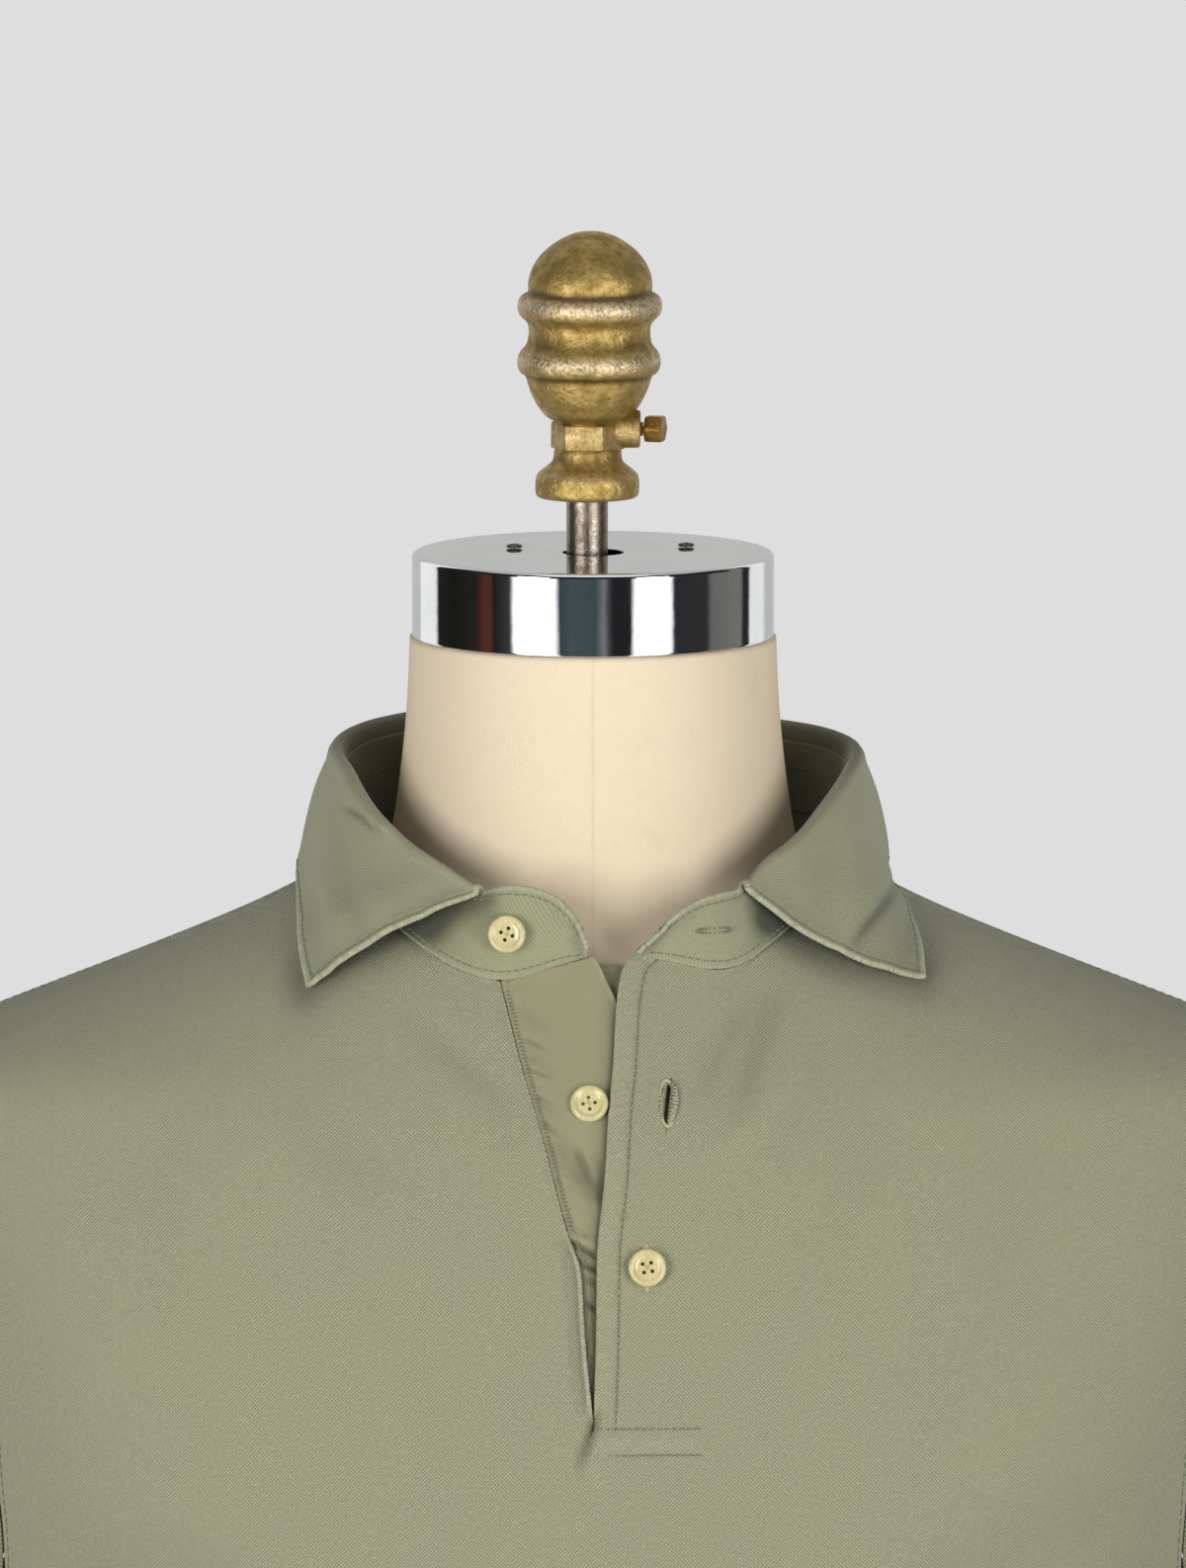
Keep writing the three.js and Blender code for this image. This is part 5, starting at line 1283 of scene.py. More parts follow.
placketCut = dict(cloth=1.1, behind=1.9, tuck=4.0, rows=520, columns=60, tick=1.27, bottom=757.0,
                  topLeft=895.7, topRight=904.0)
underEdge = table("z x", [(757, 30), (810, 27), (824, 22), (854, 15), (871, 11), (891, 7), (898, 3.5),
                          (905.4, -0.6)])
placketWrinkles = table("x0 z0 x1 z1 width depth", [
    (-9, 819.5, 2, 815.5, 1.0, -1.7), (-9, 822, 2, 819, 1.3, 0.9), (-6, 813, 3, 811, 1.0, -1.3),
    (-6, 808.5, 3, 807.5, 1.2, -0.7), (-5, 801, 3, 799, 1.2, -0.9), (-7, 848, 2, 836, 1.4, -1.5),
    (-12, 852, -2, 838, 3.0, -0.7), (-6, 842, 3, 832, 2.4, -0.9), (-22, 880, -14, 877, 0.8, -0.7),
    (-21, 871, -13, 869, 0.8, -0.6), (-19.5, 863, -12, 861.5, 0.8, -0.6), (-17, 856, -10, 852, 0.9, -0.8),
    (-24, 889, -12, 883, 2.0, -0.35),
    (-21, 876, -10, 870, 1.8, -0.35), (-19, 862, -9, 858, 1.6, -0.3), (0, 846, 5, 830, 2.0, -0.8)])


def frontStrip(name, grid, wear, thickness, **more):
    # a strip of cloth that faces the viewer
    points, quads = grid.reshape(-1, 3), gridFaces(*grid.shape[:2])
    if vertexNormals(points, quads)[:, 1].sum() > 0:
        quads = quads[:, ::-1]
    across, down = arcLengths(grid)
    uv = np.stack([across, -down], axis=-1).reshape(-1, 2)
    return clothShell(name, points, quads, uv, wear.ravel(), thickness, **more)


slitLeftAt, slitRightAt = smoothThrough(slitLeft, "z", "x"), smoothThrough(slitRight, "z", "x")


def buildUnderPlacket():
    cut = placketCut
    across = np.linspace(0, 1, cut["columns"] + 1)[None, :]
    down = np.linspace(0, 1, cut["rows"] + 1)[:, None]
    top = cut["topLeft"] + (cut["topRight"] - cut["topLeft"]) * across
    z = top + (cut["bottom"] - top) * down
    x = (slitLeftAt(z) - cut["tuck"]) * (1 - across) + smoothThrough(underEdge, "z", "x")(z) * across
    grid = np.stack([x, depthAt(x, z, True), z], axis=-1)
    fromSeam, fromOver = x - slitLeftAt(z), x - slitRightAt(z)
    wrinkled = creaseDepth(x, z, placketWrinkles)
    depth = wrinkled + 0.16 * wander(z / 1.7, 2.0) * bump(fromSeam - 2, 3.5) * (fromSeam > 0)
    depth = np.where(fromSeam < 0.4, 0, depth)
    # it comes up nearly level with the panel where the two are sewn, and sinks under the over side
    depth = depth + 1.25 * ease(fromSeam, 0.1, 1.1) * (1 - ease(fromOver, -6.5, -1.5)) * ease(z, 775, 800)
    ticks = 0.5 + 0.5 * np.cos(2 * math.pi * (z + 0.5 * fromSeam) / cut["tick"])
    depth = depth - 0.3 * ticks * bump(fromSeam - 2.2, 0.9) * ease(z, 812, 822)
    grid = grid + faceNormals(grid) * (depth - cut["behind"])[..., None]
    run = arcLengths(grid)[0]
    # paler along the free edge from rubbing, painted highlight on the ridge beside the seam; painted shadow
    # beside the over side, painted shade low in the slit, in the seam, between the overlock puckers and in
    # the wrinkles, and painted highlight on the wrinkles' ridges
    wear = (0.5 * bump(run[:, -1:] - run, 0.8) + 0.25 * bump(fromSeam - 1.4, 0.7)
            - 0.5 * bump(fromOver, 2.4) - 0.17 * (1 - ease(z, 790, 826)) - 0.35 * bump(fromSeam, 0.6)
            - 0.2 * ticks * bump(fromSeam - 2.2, 0.6) * ease(z, 812, 822)
            + np.clip(0.28 * wrinkled, -0.5, 0.18))
    pulled = 0.7 * bump(fromSeam - 3, 4) + 0.5 * (1 - ease(z, 815, 850))
    return frontStrip("underPlacketCloth", grid, wear, cut["cloth"], pucker=pulled.ravel())


placketPiece = finishPiece(buildUnderPlacket(), placketJersey, "placket_cloth", "placket_under")
print("placket made")


# the over side's own facing, a narrow strip coloured dark with painted shade, as it shows in the gap at the
# throat
facingCut = dict(rows=24, columns=16, behind=3.5, bottom=872.0, top=902.5, tuck=8.0, wide=12.5, cloth=0.9)


def buildFacing():
    cut = facingCut
    across, down = np.meshgrid(np.linspace(0, 1, cut["columns"] + 1), np.linspace(0, 1, cut["rows"] + 1))
    z = cut["top"] - 1.5 * across + (cut["bottom"] - cut["top"] + 1.5 * across) * down
    x = slitRightAt(z) - cut["tuck"] + cut["wide"] * across
    grid = np.stack([x, depthAt(x, z, True), z], axis=-1)
    grid = grid - faceNormals(grid) * (cut["behind"] + 0.3 * wander(z / 6.0, 2.0))[..., None]
    # painted shade over the whole strip and its edge
    return frontStrip("overFacingCloth", grid, np.full(z.shape, -0.35), cut["cloth"], rimWear=-0.2)


facingPiece = finishPiece(buildFacing(), placketJersey, "placket_cloth")


# stitching

sewing = dict(pitch=2.4, length=1.9, seamPitch=3.0, seamLength=2.3, hemPitch=3.2, hemLength=2.5,
              placketIn=7.0, seamIn=2.4, hemUp=(19.0, 14.5), bandIn=(2.0, 1.8), bandInside=(2.0, 7.0, 20.0),
              leafIn=1.9)


def onFace(x, z, lift=0.0):
    # points on the shirt's front, and the direction that its face looks in
    x, z = np.broadcast_arrays(*np.atleast_1d(np.float64(x), np.float64(z)))
    points = np.stack([x, depthAt(x, z, True), z], axis=-1)
    normals = faceNormals(points)
    return points + normals * lift, normals


def gridNormals(grid):
    flow = unit(np.cross(np.gradient(grid, axis=0), np.gradient(grid, axis=1)))
    return flow * np.sign(np.sum(flow * faceNormals(grid)))


def sewBeside(grid, normals, distances, distance, lines, pitch=sewing["pitch"], length=sewing["length"],
              downColumns=True):
    # a row of stitches at a fixed distance from an edge, read from a grid's columns or from its rows
    if downColumns:
        grid, normals, distances = (np.swapaxes(values, 0, 1) for values in (grid, normals, distances))
    points, facing = [], []
    for j in lines:
        order = np.argsort(distances[j])
        for found, source in ((points, grid), (facing, normals)):
            found.append([np.interp(distance, distances[j][order], source[j][order][:, k]) for k in range(3)])
    return stitchRow(np.array(points), unit(np.array(facing)), pitch, length)


rightGrid, rightAway = frontHalves[1][:2]
openRows = [j for j in range(len(upperRows)) if rightGrid[j, 0, 2] > 761]
rows = [sewBeside(rightGrid, gridNormals(rightGrid), rightAway, sewing["placketIn"], openRows,
                  downColumns=False)]
for level, start, end in ((boxRows[0], 0.9, 32), (boxRows[1], 3.9, 34.7)):
    rows.append(stitchRow(*onFace(np.linspace(start, end, 60), level, -0.2), pitch=2.3, length=1.8))
for grid, away, fromSide, fromTop, fromHem in frontHalves + backHalves:
    normals = gridNormals(grid)
    rows.append(sewBeside(grid, normals, fromSide, sewing["seamIn"], range(2, len(upperRows) - 1),
                          sewing["seamPitch"], sewing["seamLength"], downColumns=False))
    if grid[len(grid) // 2, 0, 1] >= 0:  # only the back has a row beside the shoulder seam
        shoulder = [i for i in range(grid.shape[1]) if fromTop[1, i] > 0 and abs(grid[0, i, 0]) > 79]
        rows.append(sewBeside(grid, normals, fromTop, sewing["seamIn"], shoulder, sewing["seamPitch"],
                              sewing["seamLength"]))
    for distance in sewing["hemUp"]:
        rows.append(sewBeside(grid, normals, fromHem, distance, range(grid.shape[1]), sewing["hemPitch"],
                              sewing["hemLength"]))
threadPiece("bodyTopstitching", rows, sageThread)

rows = []
bandAcross, bandDown = arcLengths(bandGrid)
bandFromEnd = np.minimum(bandAcross, bandAcross[:, -1:] - bandAcross)
bandColumns = [i for i in range(bandGrid.shape[1]) if bandFromEnd[0, i] > 2.0]
for distances, distance in zip((bandDown[-1:] - bandDown, bandDown), sewing["bandIn"]):
    rows.append(sewBeside(bandGrid, bandNormals, distances, distance, bandColumns))
for distance in sewing["bandInside"]:
    rows.append(sewBeside(bandInner, -bandNormals, bandDown, distance, bandColumns))
leafAcross, leafDown = arcLengths(leafGrid)
leafFromRight = leafAcross[:, -1:] - leafAcross
leafColumns = [i for i in range(leafGrid.shape[1])
               if min(leafAcross[-1, i], leafFromRight[-1, i]) > sewing["leafIn"]]
rows.append(sewBeside(leafGrid, leafNormals, leafDown[-1:] - leafDown, sewing["leafIn"], leafColumns))
fallRows = range(collarCut["rollRows"] + 1, leafGrid.shape[0] - 1)
halfway = leafGrid.shape[1] // 2
for part, distances in ((slice(None, halfway), leafAcross), (slice(halfway, None), leafFromRight)):
    rows.append(sewBeside(leafGrid[:, part], leafNormals[:, part], distances[:, part], sewing["leafIn"],
                          fallRows, downColumns=False))
threadPiece("collarTopstitching", rows, sageThread, "collar_cloth")

overZ = np.linspace(894, 812, 90)
overPoints, overNormals = onFace(slitLeftAt(overZ) + 1.9, overZ, 1.3 - placketCut["behind"])
threadPiece("placketOverlock", [stitchRow(overPoints, overNormals, pitch=1.25, length=1.15, slant=1.45)],
            tickThread, "placket_cloth")


def holeRim(centre, facing, upward, halfLength, halfWidth, count, length, radius):
    # close stitches set radially round a slit, with a bar at each end
    side = unit(np.cross(upward, facing))
    turns = np.linspace(0, 2 * math.pi, count, endpoint=False)
    across, along = np.cos(turns), np.sin(turns)
    flat = np.sign(along) * np.abs(along) ** 0.75
    spots = (centre + side * (across * (halfWidth + 0.55))[:, None]
             + upward * (flat * (halfLength + 0.3))[:, None])
    radial = unit(side * across[:, None] + upward * (along * 0.35)[:, None])
    return stitchesAt(spots, radial, np.repeat(facing[None], count, axis=0), length, radius)


placketHoles = table("x z halfLength halfWidth lift radius", [
    (22.9, 860.9, 7.1, 1.55, 0.05, 0.36), (16.6, 811.8, 6.7, 0.2, -0.05, 0.26)])
bandHole = dict(x=37.5, row=9, halfLength=5.4, halfWidth=0.2)

rows = []
upZ = np.array([0, 0, 1.0])
for hole in placketHoles:
    spot, facing = onFace(hole["x"], hole["z"], hole["lift"])
    upward = unit(upZ - facing[0] * np.dot(upZ, facing[0]))
    rows.append(holeRim(spot[0], facing[0], upward, hole["halfLength"], hole["halfWidth"], 46, 1.2,
                        hole["radius"]))
threadPiece("buttonholeThread", rows, paleThread)
bandLine = bandGrid[bandHole["row"]]
at = int(np.argmin(np.abs(bandLine[:, 0] - bandHole["x"]) + (bandLine[:, 1] > 0) * 999))
rows = [holeRim(bandLine[at], bandNormals[bandHole["row"], at], unit(bandLine[at + 3] - bandLine[at - 3]),
                bandHole["halfLength"], bandHole["halfWidth"], 32, 0.8, 0.24)]
threadPiece("bandButtonholeThread", rows, sageThread, "collar_cloth")
print("stitching made")


# hard pieces

def pick(*pieces):
    # selects these pieces and nothing else, the first one active
    if bpy.context.object and bpy.context.object.mode != "OBJECT":
        bpy.ops.object.mode_set(mode="OBJECT")
    bpy.ops.object.select_all(action="DESELECT")
    for piece in pieces:
        piece.select_set(True)
        bpy.context.view_layer.objects.active = pieces[0]


def applyPlace():
    bpy.ops.object.transform_apply(location=True, rotation=True, scale=True)


def smoothSides():
    bpy.ops.object.shade_smooth_by_angle(angle=math.radians(38))


def turnedPiece(name, profile, segments=96, closeFoot=True):
    # a ring at the foot, drawn out and scaled ring by ring, as on a lathe
    pick()
    radius, height = profile[0]
    bpy.ops.mesh.primitive_circle_add(vertices=segments, radius=radius * mm, location=(0, 0, height * mm),
                                      fill_type="NOTHING")
    piece = bpy.context.object
    piece.name = piece.data.name = name
    bpy.ops.object.mode_set(mode="EDIT")
    bpy.ops.mesh.select_all(action="SELECT")
    if closeFoot:
        bpy.ops.mesh.edge_face_add()
    for newRadius, newHeight in profile[1:]:
        bpy.ops.mesh.extrude_region_move(TRANSFORM_OT_translate={"value": (0, 0, (newHeight - height) * mm)})
        scale = newRadius / radius
        bpy.ops.transform.resize(value=(scale, scale, 1), center_override=(0, 0, newHeight * mm))
        radius, height = newRadius, newHeight
    if radius < 0.06:
        bpy.ops.mesh.merge(type="CENTER")
    bpy.ops.mesh.select_all(action="SELECT")
    bpy.ops.mesh.remove_doubles(threshold=0.000005)
    bpy.ops.mesh.normals_make_consistent(inside=False)
    bpy.ops.object.mode_set(mode="OBJECT")
    applyPlace()
    smoothSides()
    return piece


def addRod(sides, radius, length, place, turn=(0, 0, 0), bevel=0):
    # a round or six-sided bar, its edges rounded by the bevel
    pick()
    bpy.ops.mesh.primitive_cylinder_add(vertices=sides, radius=radius * mm, depth=length * mm,
                                        location=[c * mm for c in place], rotation=turn)
    rod = bpy.context.object
    applyPlace()
    if bevel:
        bpy.ops.object.mode_set(mode="EDIT")
        bpy.ops.mesh.select_all(action="SELECT")
        bpy.ops.mesh.bevel(offset=bevel * mm, segments=3, affect="EDGES")
        bpy.ops.object.mode_set(mode="OBJECT")
        smoothSides()
    return rod


def joinPieces(*pieces):
    pick(*pieces)
    bpy.ops.object.join()
    return pieces[0]


def cutAway(piece, cutter):
    pick(piece)
    modifier = piece.modifiers.new("cut", "BOOLEAN")
    modifier.operation, modifier.object, modifier.solver = "DIFFERENCE", cutter, "EXACT"
    bpy.ops.object.modifier_apply(modifier=modifier.name)
    bpy.data.objects.remove(cutter)


# buttons

buttonCut = dict(radius=5.9, thick=2.6, holeSpread=1.3, holeRadius=0.62, standOff=0.5, thread=0.16)
buttonRim = table("inward height", [
    (1.3, -2.6), (0.5, -2.35), (0.08, -1.8), (0, -1.3), (0.12, -0.7), (0.45, -0.2), (0.85, 0), (1.25, -0.02),
    (1.6, -0.2), (1.9, -0.5), (2.3, -0.72), (3.2, -0.84), (4.4, -0.88), (5.85, -0.9)])
buttonPlaces = [
    dict(name="bandButton", node="button_band", place=(-26.5, -80.6, 911.2), face=(-0.1, -0.99, 0.12),
         turn=0.5),
    dict(name="underPlacketButton", node="button_placket_under", x=-1.2, z=861, depth=1.9, turn=0.9),
    dict(name="overPlacketButton", node="button_placket_over", x=16.7, z=811.8, depth=0.0, turn=0.15)]


def makeButton():
    cut = buttonCut
    profile = [(cut["radius"] - row["inward"], cut["thick"] + row["height"]) for row in buttonRim]
    button = turnedPiece("shellButton", profile, segments=72)
    for sx in (-1, 1):
        for sy in (-1, 1):
            cutAway(button, addRod(20, cut["holeRadius"], cut["thick"] * 4,
                                   (sx * cut["holeSpread"], sy * cut["holeSpread"], 0)))
    pick(button)
    smoothSides()
    return button


def crossedThreads():
    # two lengths side by side each way across the button's dish
    spread, level, up = buttonCut["holeSpread"], buttonCut["thick"] - 1.0, np.array([[0, 0, 1.0]])
    rows = []
    for start in np.array([(-spread, -spread, level), (-spread, spread, level)]):
        end = start * np.array([-1, -1, 1])
        along = unit(end - start)[None]
        for shift in (-0.2, 0.2):
            rows.append(stitchesAt(((start + end) / 2)[None] + np.cross(along, up) * shift, along, up,
                                   spread * 2.3, radius=buttonCut["thread"]))
    return rows


masterButton = makeButton()
for spec in buttonPlaces:
    if "place" in spec:
        spot, facing = np.array(spec["place"], float), unit(np.array(spec["face"], float))
    else:
        spots, facings = onFace(spec["x"], spec["z"])
        facing = facings[0]
        spot = spots[0] + facing * (buttonCut["standOff"] - spec["depth"])
    side = unit(np.cross([0, 0, 1.0], facing))
    upward = np.cross(facing, side)
    c, s = math.cos(spec["turn"]), math.sin(spec["turn"])
    axes = np.array([side * c + upward * s, upward * c - side * s, facing])
    button = masterButton.copy()
    button.data = masterButton.data.copy()
    button.name = button.data.name = spec["name"]
    bpy.context.scene.collection.objects.link(button)
    for vertex in button.data.vertices:
        vertex.co = Vector((np.array(vertex.co) / mm @ axes + spot) * mm)
    button.data.update()
    finishPiece(button, buttonShell, "button_shell", spec["node"])
    rows = [(points @ axes + spot, faces) for points, faces in crossedThreads()]
    threadPiece(spec["name"] + "Thread", rows, paleThread, "button_shell")
bpy.data.objects.remove(masterButton)
print("buttons made")


# dress form

formRooms = table("z side front back", [
    (190, 17, 14, 14), (216, 15, 13, 12), (300, 13, 11, 9), (400, 17, 11, 10), (480, 24, 15, 17),
    (560, 24, 16, 20), (640, 16, 10, 13), (682, 14, 7, 9), (707, 13, 6.5, 7), (728, 13, 6.5, 6),
    (760, 12, 6, 5), (800, 13, 6, 4.5), (830, 16, 6, 4), (850, 18, 6, 3.5), (863, 15, 6, 3.5),
    (870.5, 5, 6, 3.5), (878.5, 4, 6, 3.5), (903, 4, 6, 3.5), (908.4, 7, 6, 4), (916.5, 10, 7, 5),
    (926, 11, 5, 7), (936, 6, 2, 4)])
neckSections = table("z half front back power", [
    (950, 60.2, 60.4, 59.6, 2.0), (975, 57.8, 58, 57.8, 2.0), (993.7, 57, 57, 57, 2.0)])
torsoSteps = [(190, 240, 25), (240, 660, 30), (660, 710, 25), (710, 750, 20)]
torsoLevels = [z for low, high, step in torsoSteps for z in range(low, high, step)] + [
    750, 768, 785, 799, 812, 822, 832, 839, 846, 851, 856, 860, 864, *np.arange(867.5, 900, 3.5), 902, 905,
    908, 911, 914.5, 918, 922, 926]
# where the collar and band cross the canvas in front, x and z
throatLine = [(-60, 950), (-50, 938), (-41, 929), (-31, 924), (-20, 921), (-11, 913), (-4, 903), (2, 899),
              (8, 904), (17, 911), (30, 917), (44, 921), (51, 929), (60, 946)]


def buildTorso():
    # just inside the shirt up to the shoulders, then a round neck
    known = []
    for z in torsoLevels:
        rooms = [smoothThrough(formRooms, "z", side)(z) for side in ("side", "front", "back")] + [0]
        known.append((z - 1 if z > 190 else z, *np.subtract(shirtSection(z), rooms)))
    known = table("z half front back power", known) + neckSections
    columns = [smoothThrough(known, "z", key) for key in ("half", "front", "back", "power")]
    levels = np.concatenate([np.linspace(190, 880, 120), np.linspace(883, 993.7, 80)])
    nearSeam = np.radians([0, 0.15, 0.3, 0.5, 0.8, 1.2, 1.7, 2.3, 3.1])
    quarter = np.concatenate([nearSeam, np.linspace(math.radians(4), math.pi / 2, 38)])
    half = np.concatenate([quarter, (math.pi - quarter)[::-1][1:]])
    angles = np.concatenate([half, (half + math.pi)[1:-1]])
    grid = []
    for z in levels:
        x, y = aroundSection(angles, *(column(z) for column in columns))
        grid.append(np.stack([x, y, np.full_like(x, z)], axis=-1))
    grid = np.array(grid)
    # the sewn seam down the middle of front and back: a narrow groove with raised lips
    x, y, z = np.moveaxis(grid, -1, 0)
    away = np.abs(x - 0.1 * wander(z / 6.0, 3.0))
    seam = (-0.2 * bump(away, 0.28) + 0.08 * bump(away - 1.1, 0.6)) * ease(z, 915, 960)
    grid = grid + unit(np.stack([x, y, 0 * x], axis=-1)) * seam[..., None]
    x, y, z = np.moveaxis(grid, -1, 0)
    index = np.arange(x.size).reshape(x.shape)
    piece = linkMesh("formCanvas", grid.reshape(-1, 3),
                     tubeFaces(index).tolist() + [index[0, ::-1].tolist(), index[-1].tolist()])
    # painted shade on the canvas in front: below the collar's line, along it, and deepest at the bottom of
    # the V
    nearest = np.full(x.shape, 99.0)
    for a, b, _ in evenPoints(lineThrough([(a, b, 0) for a, b in throatLine]), np.linspace(0, 1, 90), 300):
        nearest = np.minimum(nearest, np.hypot(x - a, (z - b) * 0.9))
    below = z < np.interp(x, *zip(*throatLine))
    shade = 0.12 * np.where(below, 1, bump(nearest, 6.0)) + 0.38 * bump(z - 900, 9) * bump(x - 2, 12)
    setPointValues(piece, "shade", np.clip(shade, 0, 0.85) * (y < 0))
    return piece


finishPiece(buildTorso(), creamCanvas, "canvas", "form_torso")

# radius and height; the heights of cap, screws and finial count from the cap's top
capProfile = [
    (9.4, -26), (55.8, -26), (56.15, -25.85), (56.3, -25.5), (56.3, -25.1), (56.3, -2.2), (56.3, -1.5),
    (56.2, -0.9), (55.9, -0.45), (55.4, -0.12), (54.8, 0), (54.2, 0), (10.5, 0), (9.8, 0), (9.5, -0.1),
    (9.4, -0.5), (9.4, -1.0), (9.4, -26)]
screwProfile = [(2.4, 0.3), (2.6, 0.45), (2.55, 0.8), (2.2, 1.15), (1.5, 1.3), (0.05, 1.35)]
rodProfile = [
    (0.06, 994), (6.1, 994), (6.45, 994.4), (6.45, 1008), (6.45, 1025), (6.45, 1040), (6.45, 1055),
    (6.45, 1067), (6.1, 1067.7), (0.05, 1067.7)]
finialOutside = [
    (15, 17.4), (15.8, 17.9), (16.1, 19), (16.1, 22.6), (15.7, 24.3), (14.2, 25.8), (12.4, 27.2),
    (11, 28.6), (10.6, 30), (10.5, 31.8), (10, 33), (9.9, 36), (9.9, 40), (10.6, 41.2), (12, 41.9),
    (13.6, 43.1), (15.1, 44.9), (16.6, 47.2), (17.9, 49.8), (18.9, 52.4), (19.5, 54.6), (20.0, 55.6),
    (21.2, 56.3), (22.0, 57.6), (22.3, 59.4), (22.1, 61.3), (21.3, 63), (20.2, 64.2), (19.4, 65.6),
    (19, 67.6), (18.9, 69.6), (19.3, 71.6), (20.4, 73), (21.7, 74.2), (22.4, 76), (22.5, 77.8),
    (22.0, 79.4), (21.0, 80.5), (19.9, 81), (19.3, 81.5), (19.2, 82.2), (19.35, 83.2), (19.2, 85.2),
    (18.6, 87.6), (17.2, 90.6), (14.9, 93.6), (11.6, 96.4), (7.7, 98.7), (3.9, 100), (0.05, 100.4)]
baseProfile = [
    (172, 0), (174.2, 0.3), (175, 1.2), (175, 8.5), (174.4, 10.6), (172.8, 12.2), (170, 13.4), (166, 14),
    (45, 14), (41, 14.6), (37, 16.4), (34.4, 19.6), (32.4, 28), (30.4, 36.4), (29, 38.8), (27, 40),
    (0.05, 40)]
poleProfile = [(15.5, 40.3), (16, 40.8), (16, 110), (16, 189.2), (15.5, 189.7), (0.05, 189.7)]


def onCap(profile):
    return [(r, capTop + h) for r, h in profile]


def makeCapScrew(name, x, y, turn):
    # a small slotted screw: head, bevelled rim and a sawn cross
    head = turnedPiece(name, onCap(screwProfile), 40)
    for angle in (turn, turn + math.pi / 2):
        pick()
        bpy.ops.mesh.primitive_cube_add(size=1, location=(0, 0, (capTop + 1.3) * mm))
        saw = bpy.context.object
        saw.scale = (3.6 * mm, 0.7 * mm, 0.9 * mm)
        saw.rotation_euler = (0, 0, angle)
        applyPlace()
        cutAway(head, saw)
    for vertex in head.data.vertices:
        vertex.co.x += x * mm
        vertex.co.y += y * mm
    return head


finialLean = dict(shift=-1.8, rate=0.0145, start=1.04)
finialFit = dict(bore=6.8, boreTop=48, hexagon=36.6, screw=38.6)
sideways = (0, math.pi / 2, 0)


def leaning(piece):
    # the rod stands a little to one side of its hole and the finial tips back towards the middle
    for vertex in piece.data.vertices:
        above = max(vertex.co.z - finialLean["start"], 0)
        vertex.co.x += finialLean["shift"] * mm + above * finialLean["rate"]
    piece.data.update()
    return piece


def makeFinial():
    bore, top = finialFit["bore"], finialFit["boreTop"]
    outside = [(max(r, 0.05), h) for r, h in evenPoints(lineThrough(finialOutside), np.linspace(0, 1, 150))]
    body = turnedPiece("finialBrass", onCap([(bore, top), (bore, 17.4)] + outside), 96, closeFoot=False)
    plug = addRod(48, bore, 0.4, (0, 0, capTop + top + 0.1))  # the bore's closed end
    # six flats for a spanner, and the boss that carries the set screw
    hexagon = addRod(6, 11.8, 8.4, (0, 0, capTop + finialFit["hexagon"]), (0, 0, 0.38), bevel=0.7)
    boss = addRod(40, 5.9, 8.2, (12.2, 0, capTop + finialFit["screw"]), sideways, bevel=0.8)
    return joinPieces(body, plug, hexagon, boss)


def makeSetScrew():
    height = capTop + finialFit["screw"]
    shank = addRod(32, 2.2, 10.2, (12.0, 0, height), sideways)
    shank.name = shank.data.name = "setScrewBrass"
    return joinPieces(shank, addRod(6, 4.6, 5.6, (20.8, 0, height), (0.3, math.pi / 2, 0), bevel=0.6))


finishPiece(turnedPiece("neckCapChrome", onCap(capProfile), 192, closeFoot=False), mirrorChrome, "chrome",
            "neck_cap")
finishPiece(makeCapScrew("capScrewLeft", -24.5, 10, 0.6), darkSteel, "steel", "cap_screw_left")
finishPiece(makeCapScrew("capScrewRight", 29, 13, 0.2), darkSteel, "steel", "cap_screw_right")
finishPiece(leaning(turnedPiece("rodSteel", rodProfile, 64)), wornSteel, "steel", "rod")
finishPiece(leaning(makeFinial()), agedBrass, "aged_brass", "finial")
finishPiece(leaning(makeSetScrew()), shadedBrass, "aged_brass", "set_screw")
finishPiece(turnedPiece("basePlate", baseProfile, 128), satinPaint, "base_paint", "base")
finishPiece(turnedPiece("polePainted", poleProfile, 64), wornSteel, "steel", "pole")
print("dress form made")


# stage, light and camera

photoView = dict(middleHeight=0.9473, tilt=7.5, distance=9.0, frameHeight=0.488)


def makeFloor():
    pick()
    bpy.ops.mesh.primitive_circle_add(vertices=96, radius=1.3, location=(0, 0, -0.002), fill_type="NGON")
    floor = bpy.context.object
    floor.name = "floor"
    applyPlace()
    material, tree, shader = newMaterial("paleFloor", Roughness=0.8)
    dust = noise(tree, objectPlace(tree), 4.0, 3.0)
    feed(tree, shader.inputs["Base Color"], mixColour(tree, dust, (0.66, 0.66, 0.66, 1), (0.7, 0.7, 0.7, 1)))
    floor.data.materials.append(material)


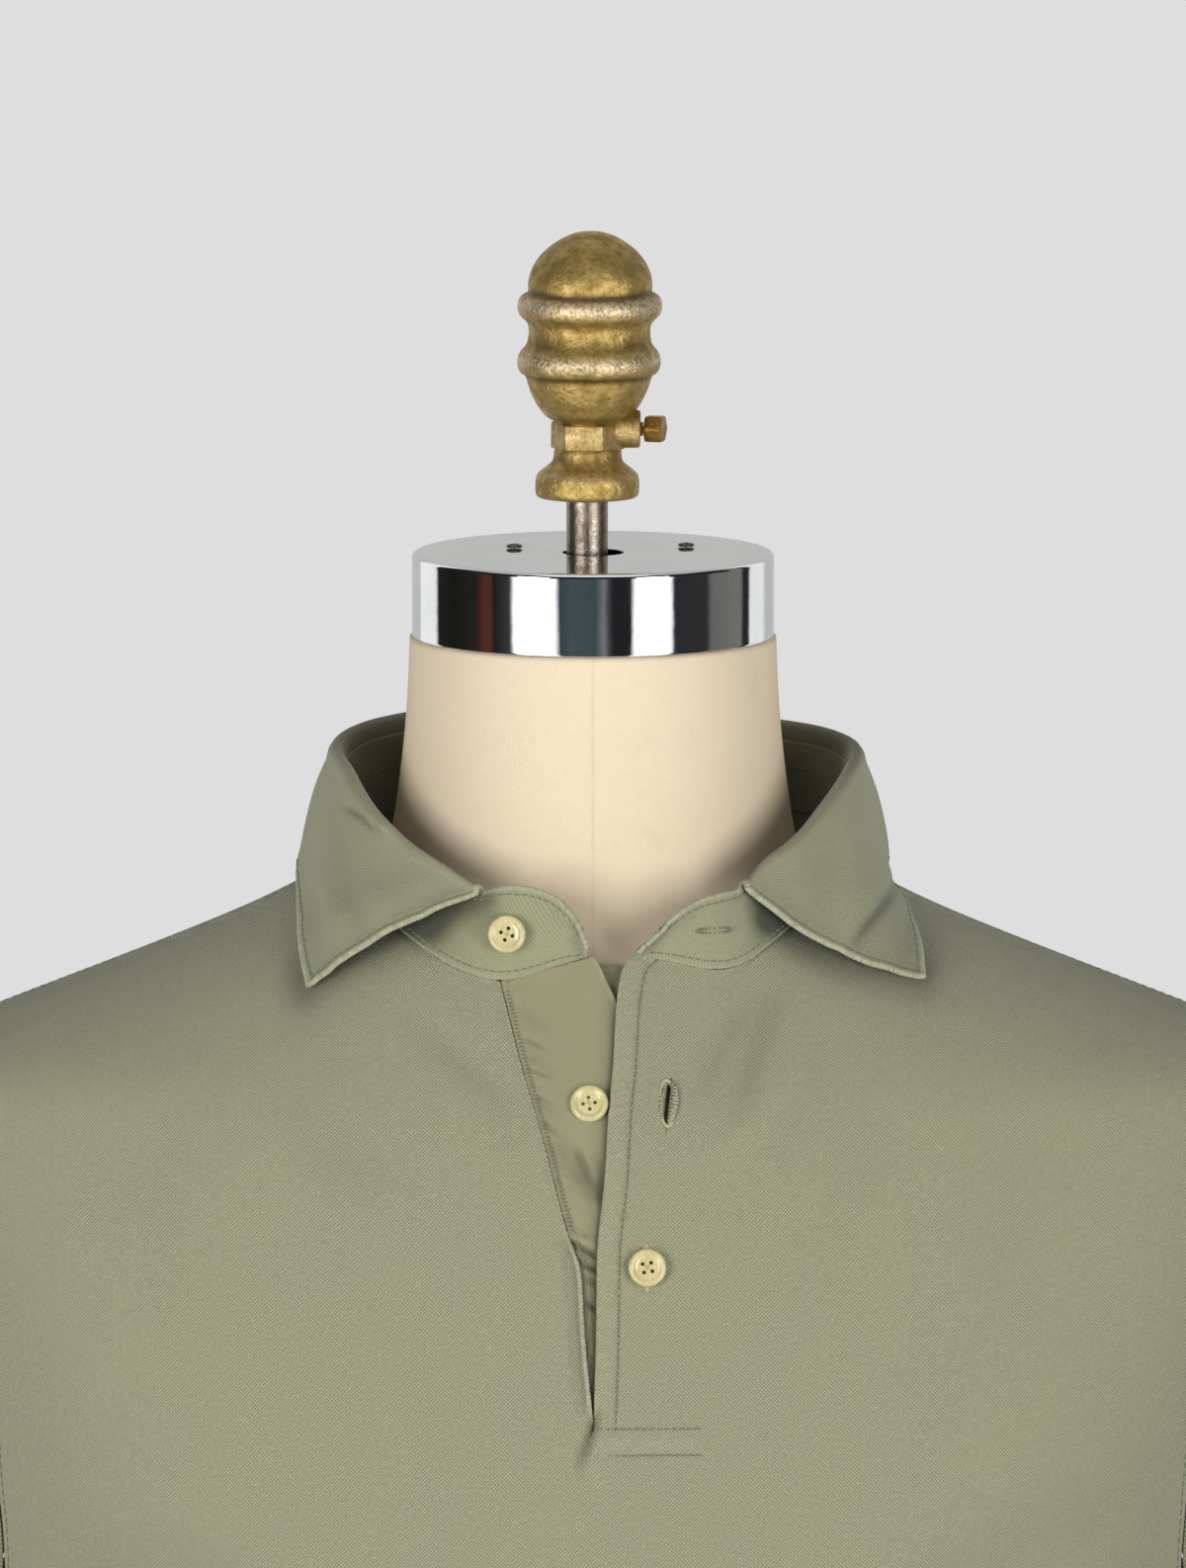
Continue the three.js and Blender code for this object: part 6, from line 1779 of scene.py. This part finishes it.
# what a mirror sees round the studio, by azimuth from the camera's side: strip lights and dark stands
studioBands = table("azimuth red green blue", [
    (-180, 0.55, 0.55, 0.53), (-146, 0.58, 0.58, 0.57), (-142, 1, 1, 1), (-120, 1, 1, 1),
    (-117, 0.02, 0.018, 0.016), (-101, 0.012, 0.012, 0.011), (-80, 0.02, 0.018, 0.015),
    (-74, 0.1, 0.03, 0.018), (-69, 0.1, 0.035, 0.02), (-66, 0.014, 0.014, 0.016), (-54, 0.05, 0.05, 0.05),
    (-52, 1.3, 1.3, 1.3), (-24, 1.3, 1.3, 1.3), (-21.5, 0.045, 0.06, 0.08), (-14, 0.07, 0.095, 0.1),
    (2, 0.06, 0.085, 0.09), (7, 0.2, 0.22, 0.22), (10, 0.06, 0.06, 0.06), (13, 0.018, 0.018, 0.02),
    (24, 0.018, 0.018, 0.02), (26.5, 1.3, 1.3, 1.3), (51, 1.3, 1.3, 1.3), (53.5, 0.03, 0.03, 0.034),
    (78, 0.035, 0.034, 0.034), (82, 0.16, 0.16, 0.15), (109, 0.2, 0.2, 0.18), (112, 0.02, 0.02, 0.02),
    (118, 0.03, 0.03, 0.03), (120, 0.95, 0.95, 0.95), (138, 0.95, 0.95, 0.95), (145, 0.56, 0.56, 0.55),
    (180, 0.55, 0.55, 0.53)])


def makeWorld():
    world = bpy.data.worlds.new("studio")
    bpy.context.scene.world = world
    world.use_nodes = True
    tree = world.node_tree
    tree.nodes.clear()
    x, y, z = addNode(tree, "SeparateXYZ", Vector=addNode(tree, "TexCoord").outputs["Generated"]).outputs
    turn = calc(tree, "ARCTAN2", x, calc(tree, "MULTIPLY", y, -1.0))
    ramp = addNode(tree, "ValToRGB", Fac=ranged(tree, turn, -math.pi, math.pi))
    stops = ramp.color_ramp.elements
    for k, band in enumerate(studioBands):
        place = (band["azimuth"] + 180) / 360
        stop = stops[0] if k == 0 else stops[-1] if k == len(studioBands) - 1 else stops.new(place)
        stop.position = place
        stop.color = (band["red"], band["green"], band["blue"], 1)
    # above the strip lights the studio is dark in front, and pale overhead
    dark = calc(tree, "MULTIPLY", calc(tree, "LESS_THAN", y, 0.15), ranged(tree, z, 0.02, 0.1))
    gloomy = mixColour(tree, dark, ramp.outputs["Color"], (0.02, 0.02, 0.022, 1))
    mirrored = mixColour(tree, ranged(tree, z, 0.62, 0.8), gloomy, (0.52, 0.52, 0.515, 1))

    def background(colour, strength):
        return addNode(tree, "Background", Color=colour, Strength=strength).outputs[0]

    path = addNode(tree, "LightPath").outputs
    soft = background((1, 1, 1, 1), ranged(tree, z, -0.3, 0.9, 0.37, 0.05))
    shown = addNode(tree, "MixShader", i0=path["Is Glossy Ray"], i1=soft, i2=background(mirrored, 1.0))
    final = addNode(tree, "MixShader", i0=path["Is Camera Ray"], i1=shown.outputs[0],
                    i2=background((0.73, 0.73, 0.73, 1), 1.0))
    addNode(tree, "OutputWorld", Surface=final.outputs[0])


def addSoftbox(name, place, target, size, power):
    lamp = bpy.data.lights.new(name, "AREA")
    lamp.shape, lamp.size, lamp.size_y, lamp.energy = "RECTANGLE", size[0], size[1], power
    holder = bpy.data.objects.new(name, lamp)
    bpy.context.scene.collection.objects.link(holder)
    holder.location = place
    holder.rotation_euler = (Vector(target) - Vector(place)).to_track_quat("-Z", "Y").to_euler()
    return holder


makeFloor()
makeWorld()
addSoftbox("keyLeft", (-1.5, -1.9, 0.9), (0, 0, 0.82), (0.9, 1.5), 36)
addSoftbox("keyRight", (1.5, -1.9, 0.9), (0, 0, 0.82), (0.9, 1.5), 33.5)
addSoftbox("top", (0, -0.9, 2.4), (0, 0, 0.9), (1.6, 1.2), 3.5)
addSoftbox("behind", (0.5, 2.4, 2.3), (0, 0, 0.6), (2.0, 1.2), 12).visible_glossy = False

eye = bpy.data.cameras.new("photoCamera")
eyeHolder = bpy.data.objects.new("photoCamera", eye)
bpy.context.scene.collection.objects.link(eyeHolder)
tilt = math.radians(photoView["tilt"])
away = Vector((0, -math.cos(tilt), math.sin(tilt)))
eyeHolder.location = Vector((0, 0, photoView["middleHeight"])) + away * photoView["distance"]
eyeHolder.rotation_euler = (-away).to_track_quat("-Z", "Y").to_euler()
eye.sensor_width = 36
eye.lens = eye.sensor_width * photoView["distance"] / photoView["frameHeight"]
eye.clip_start, eye.clip_end = 0.1, 100
eye.dof.use_dof = False
bpy.context.scene.camera = eyeHolder
bpy.context.scene.view_settings.view_transform = "Standard"
bpy.context.scene.view_settings.look = "None"
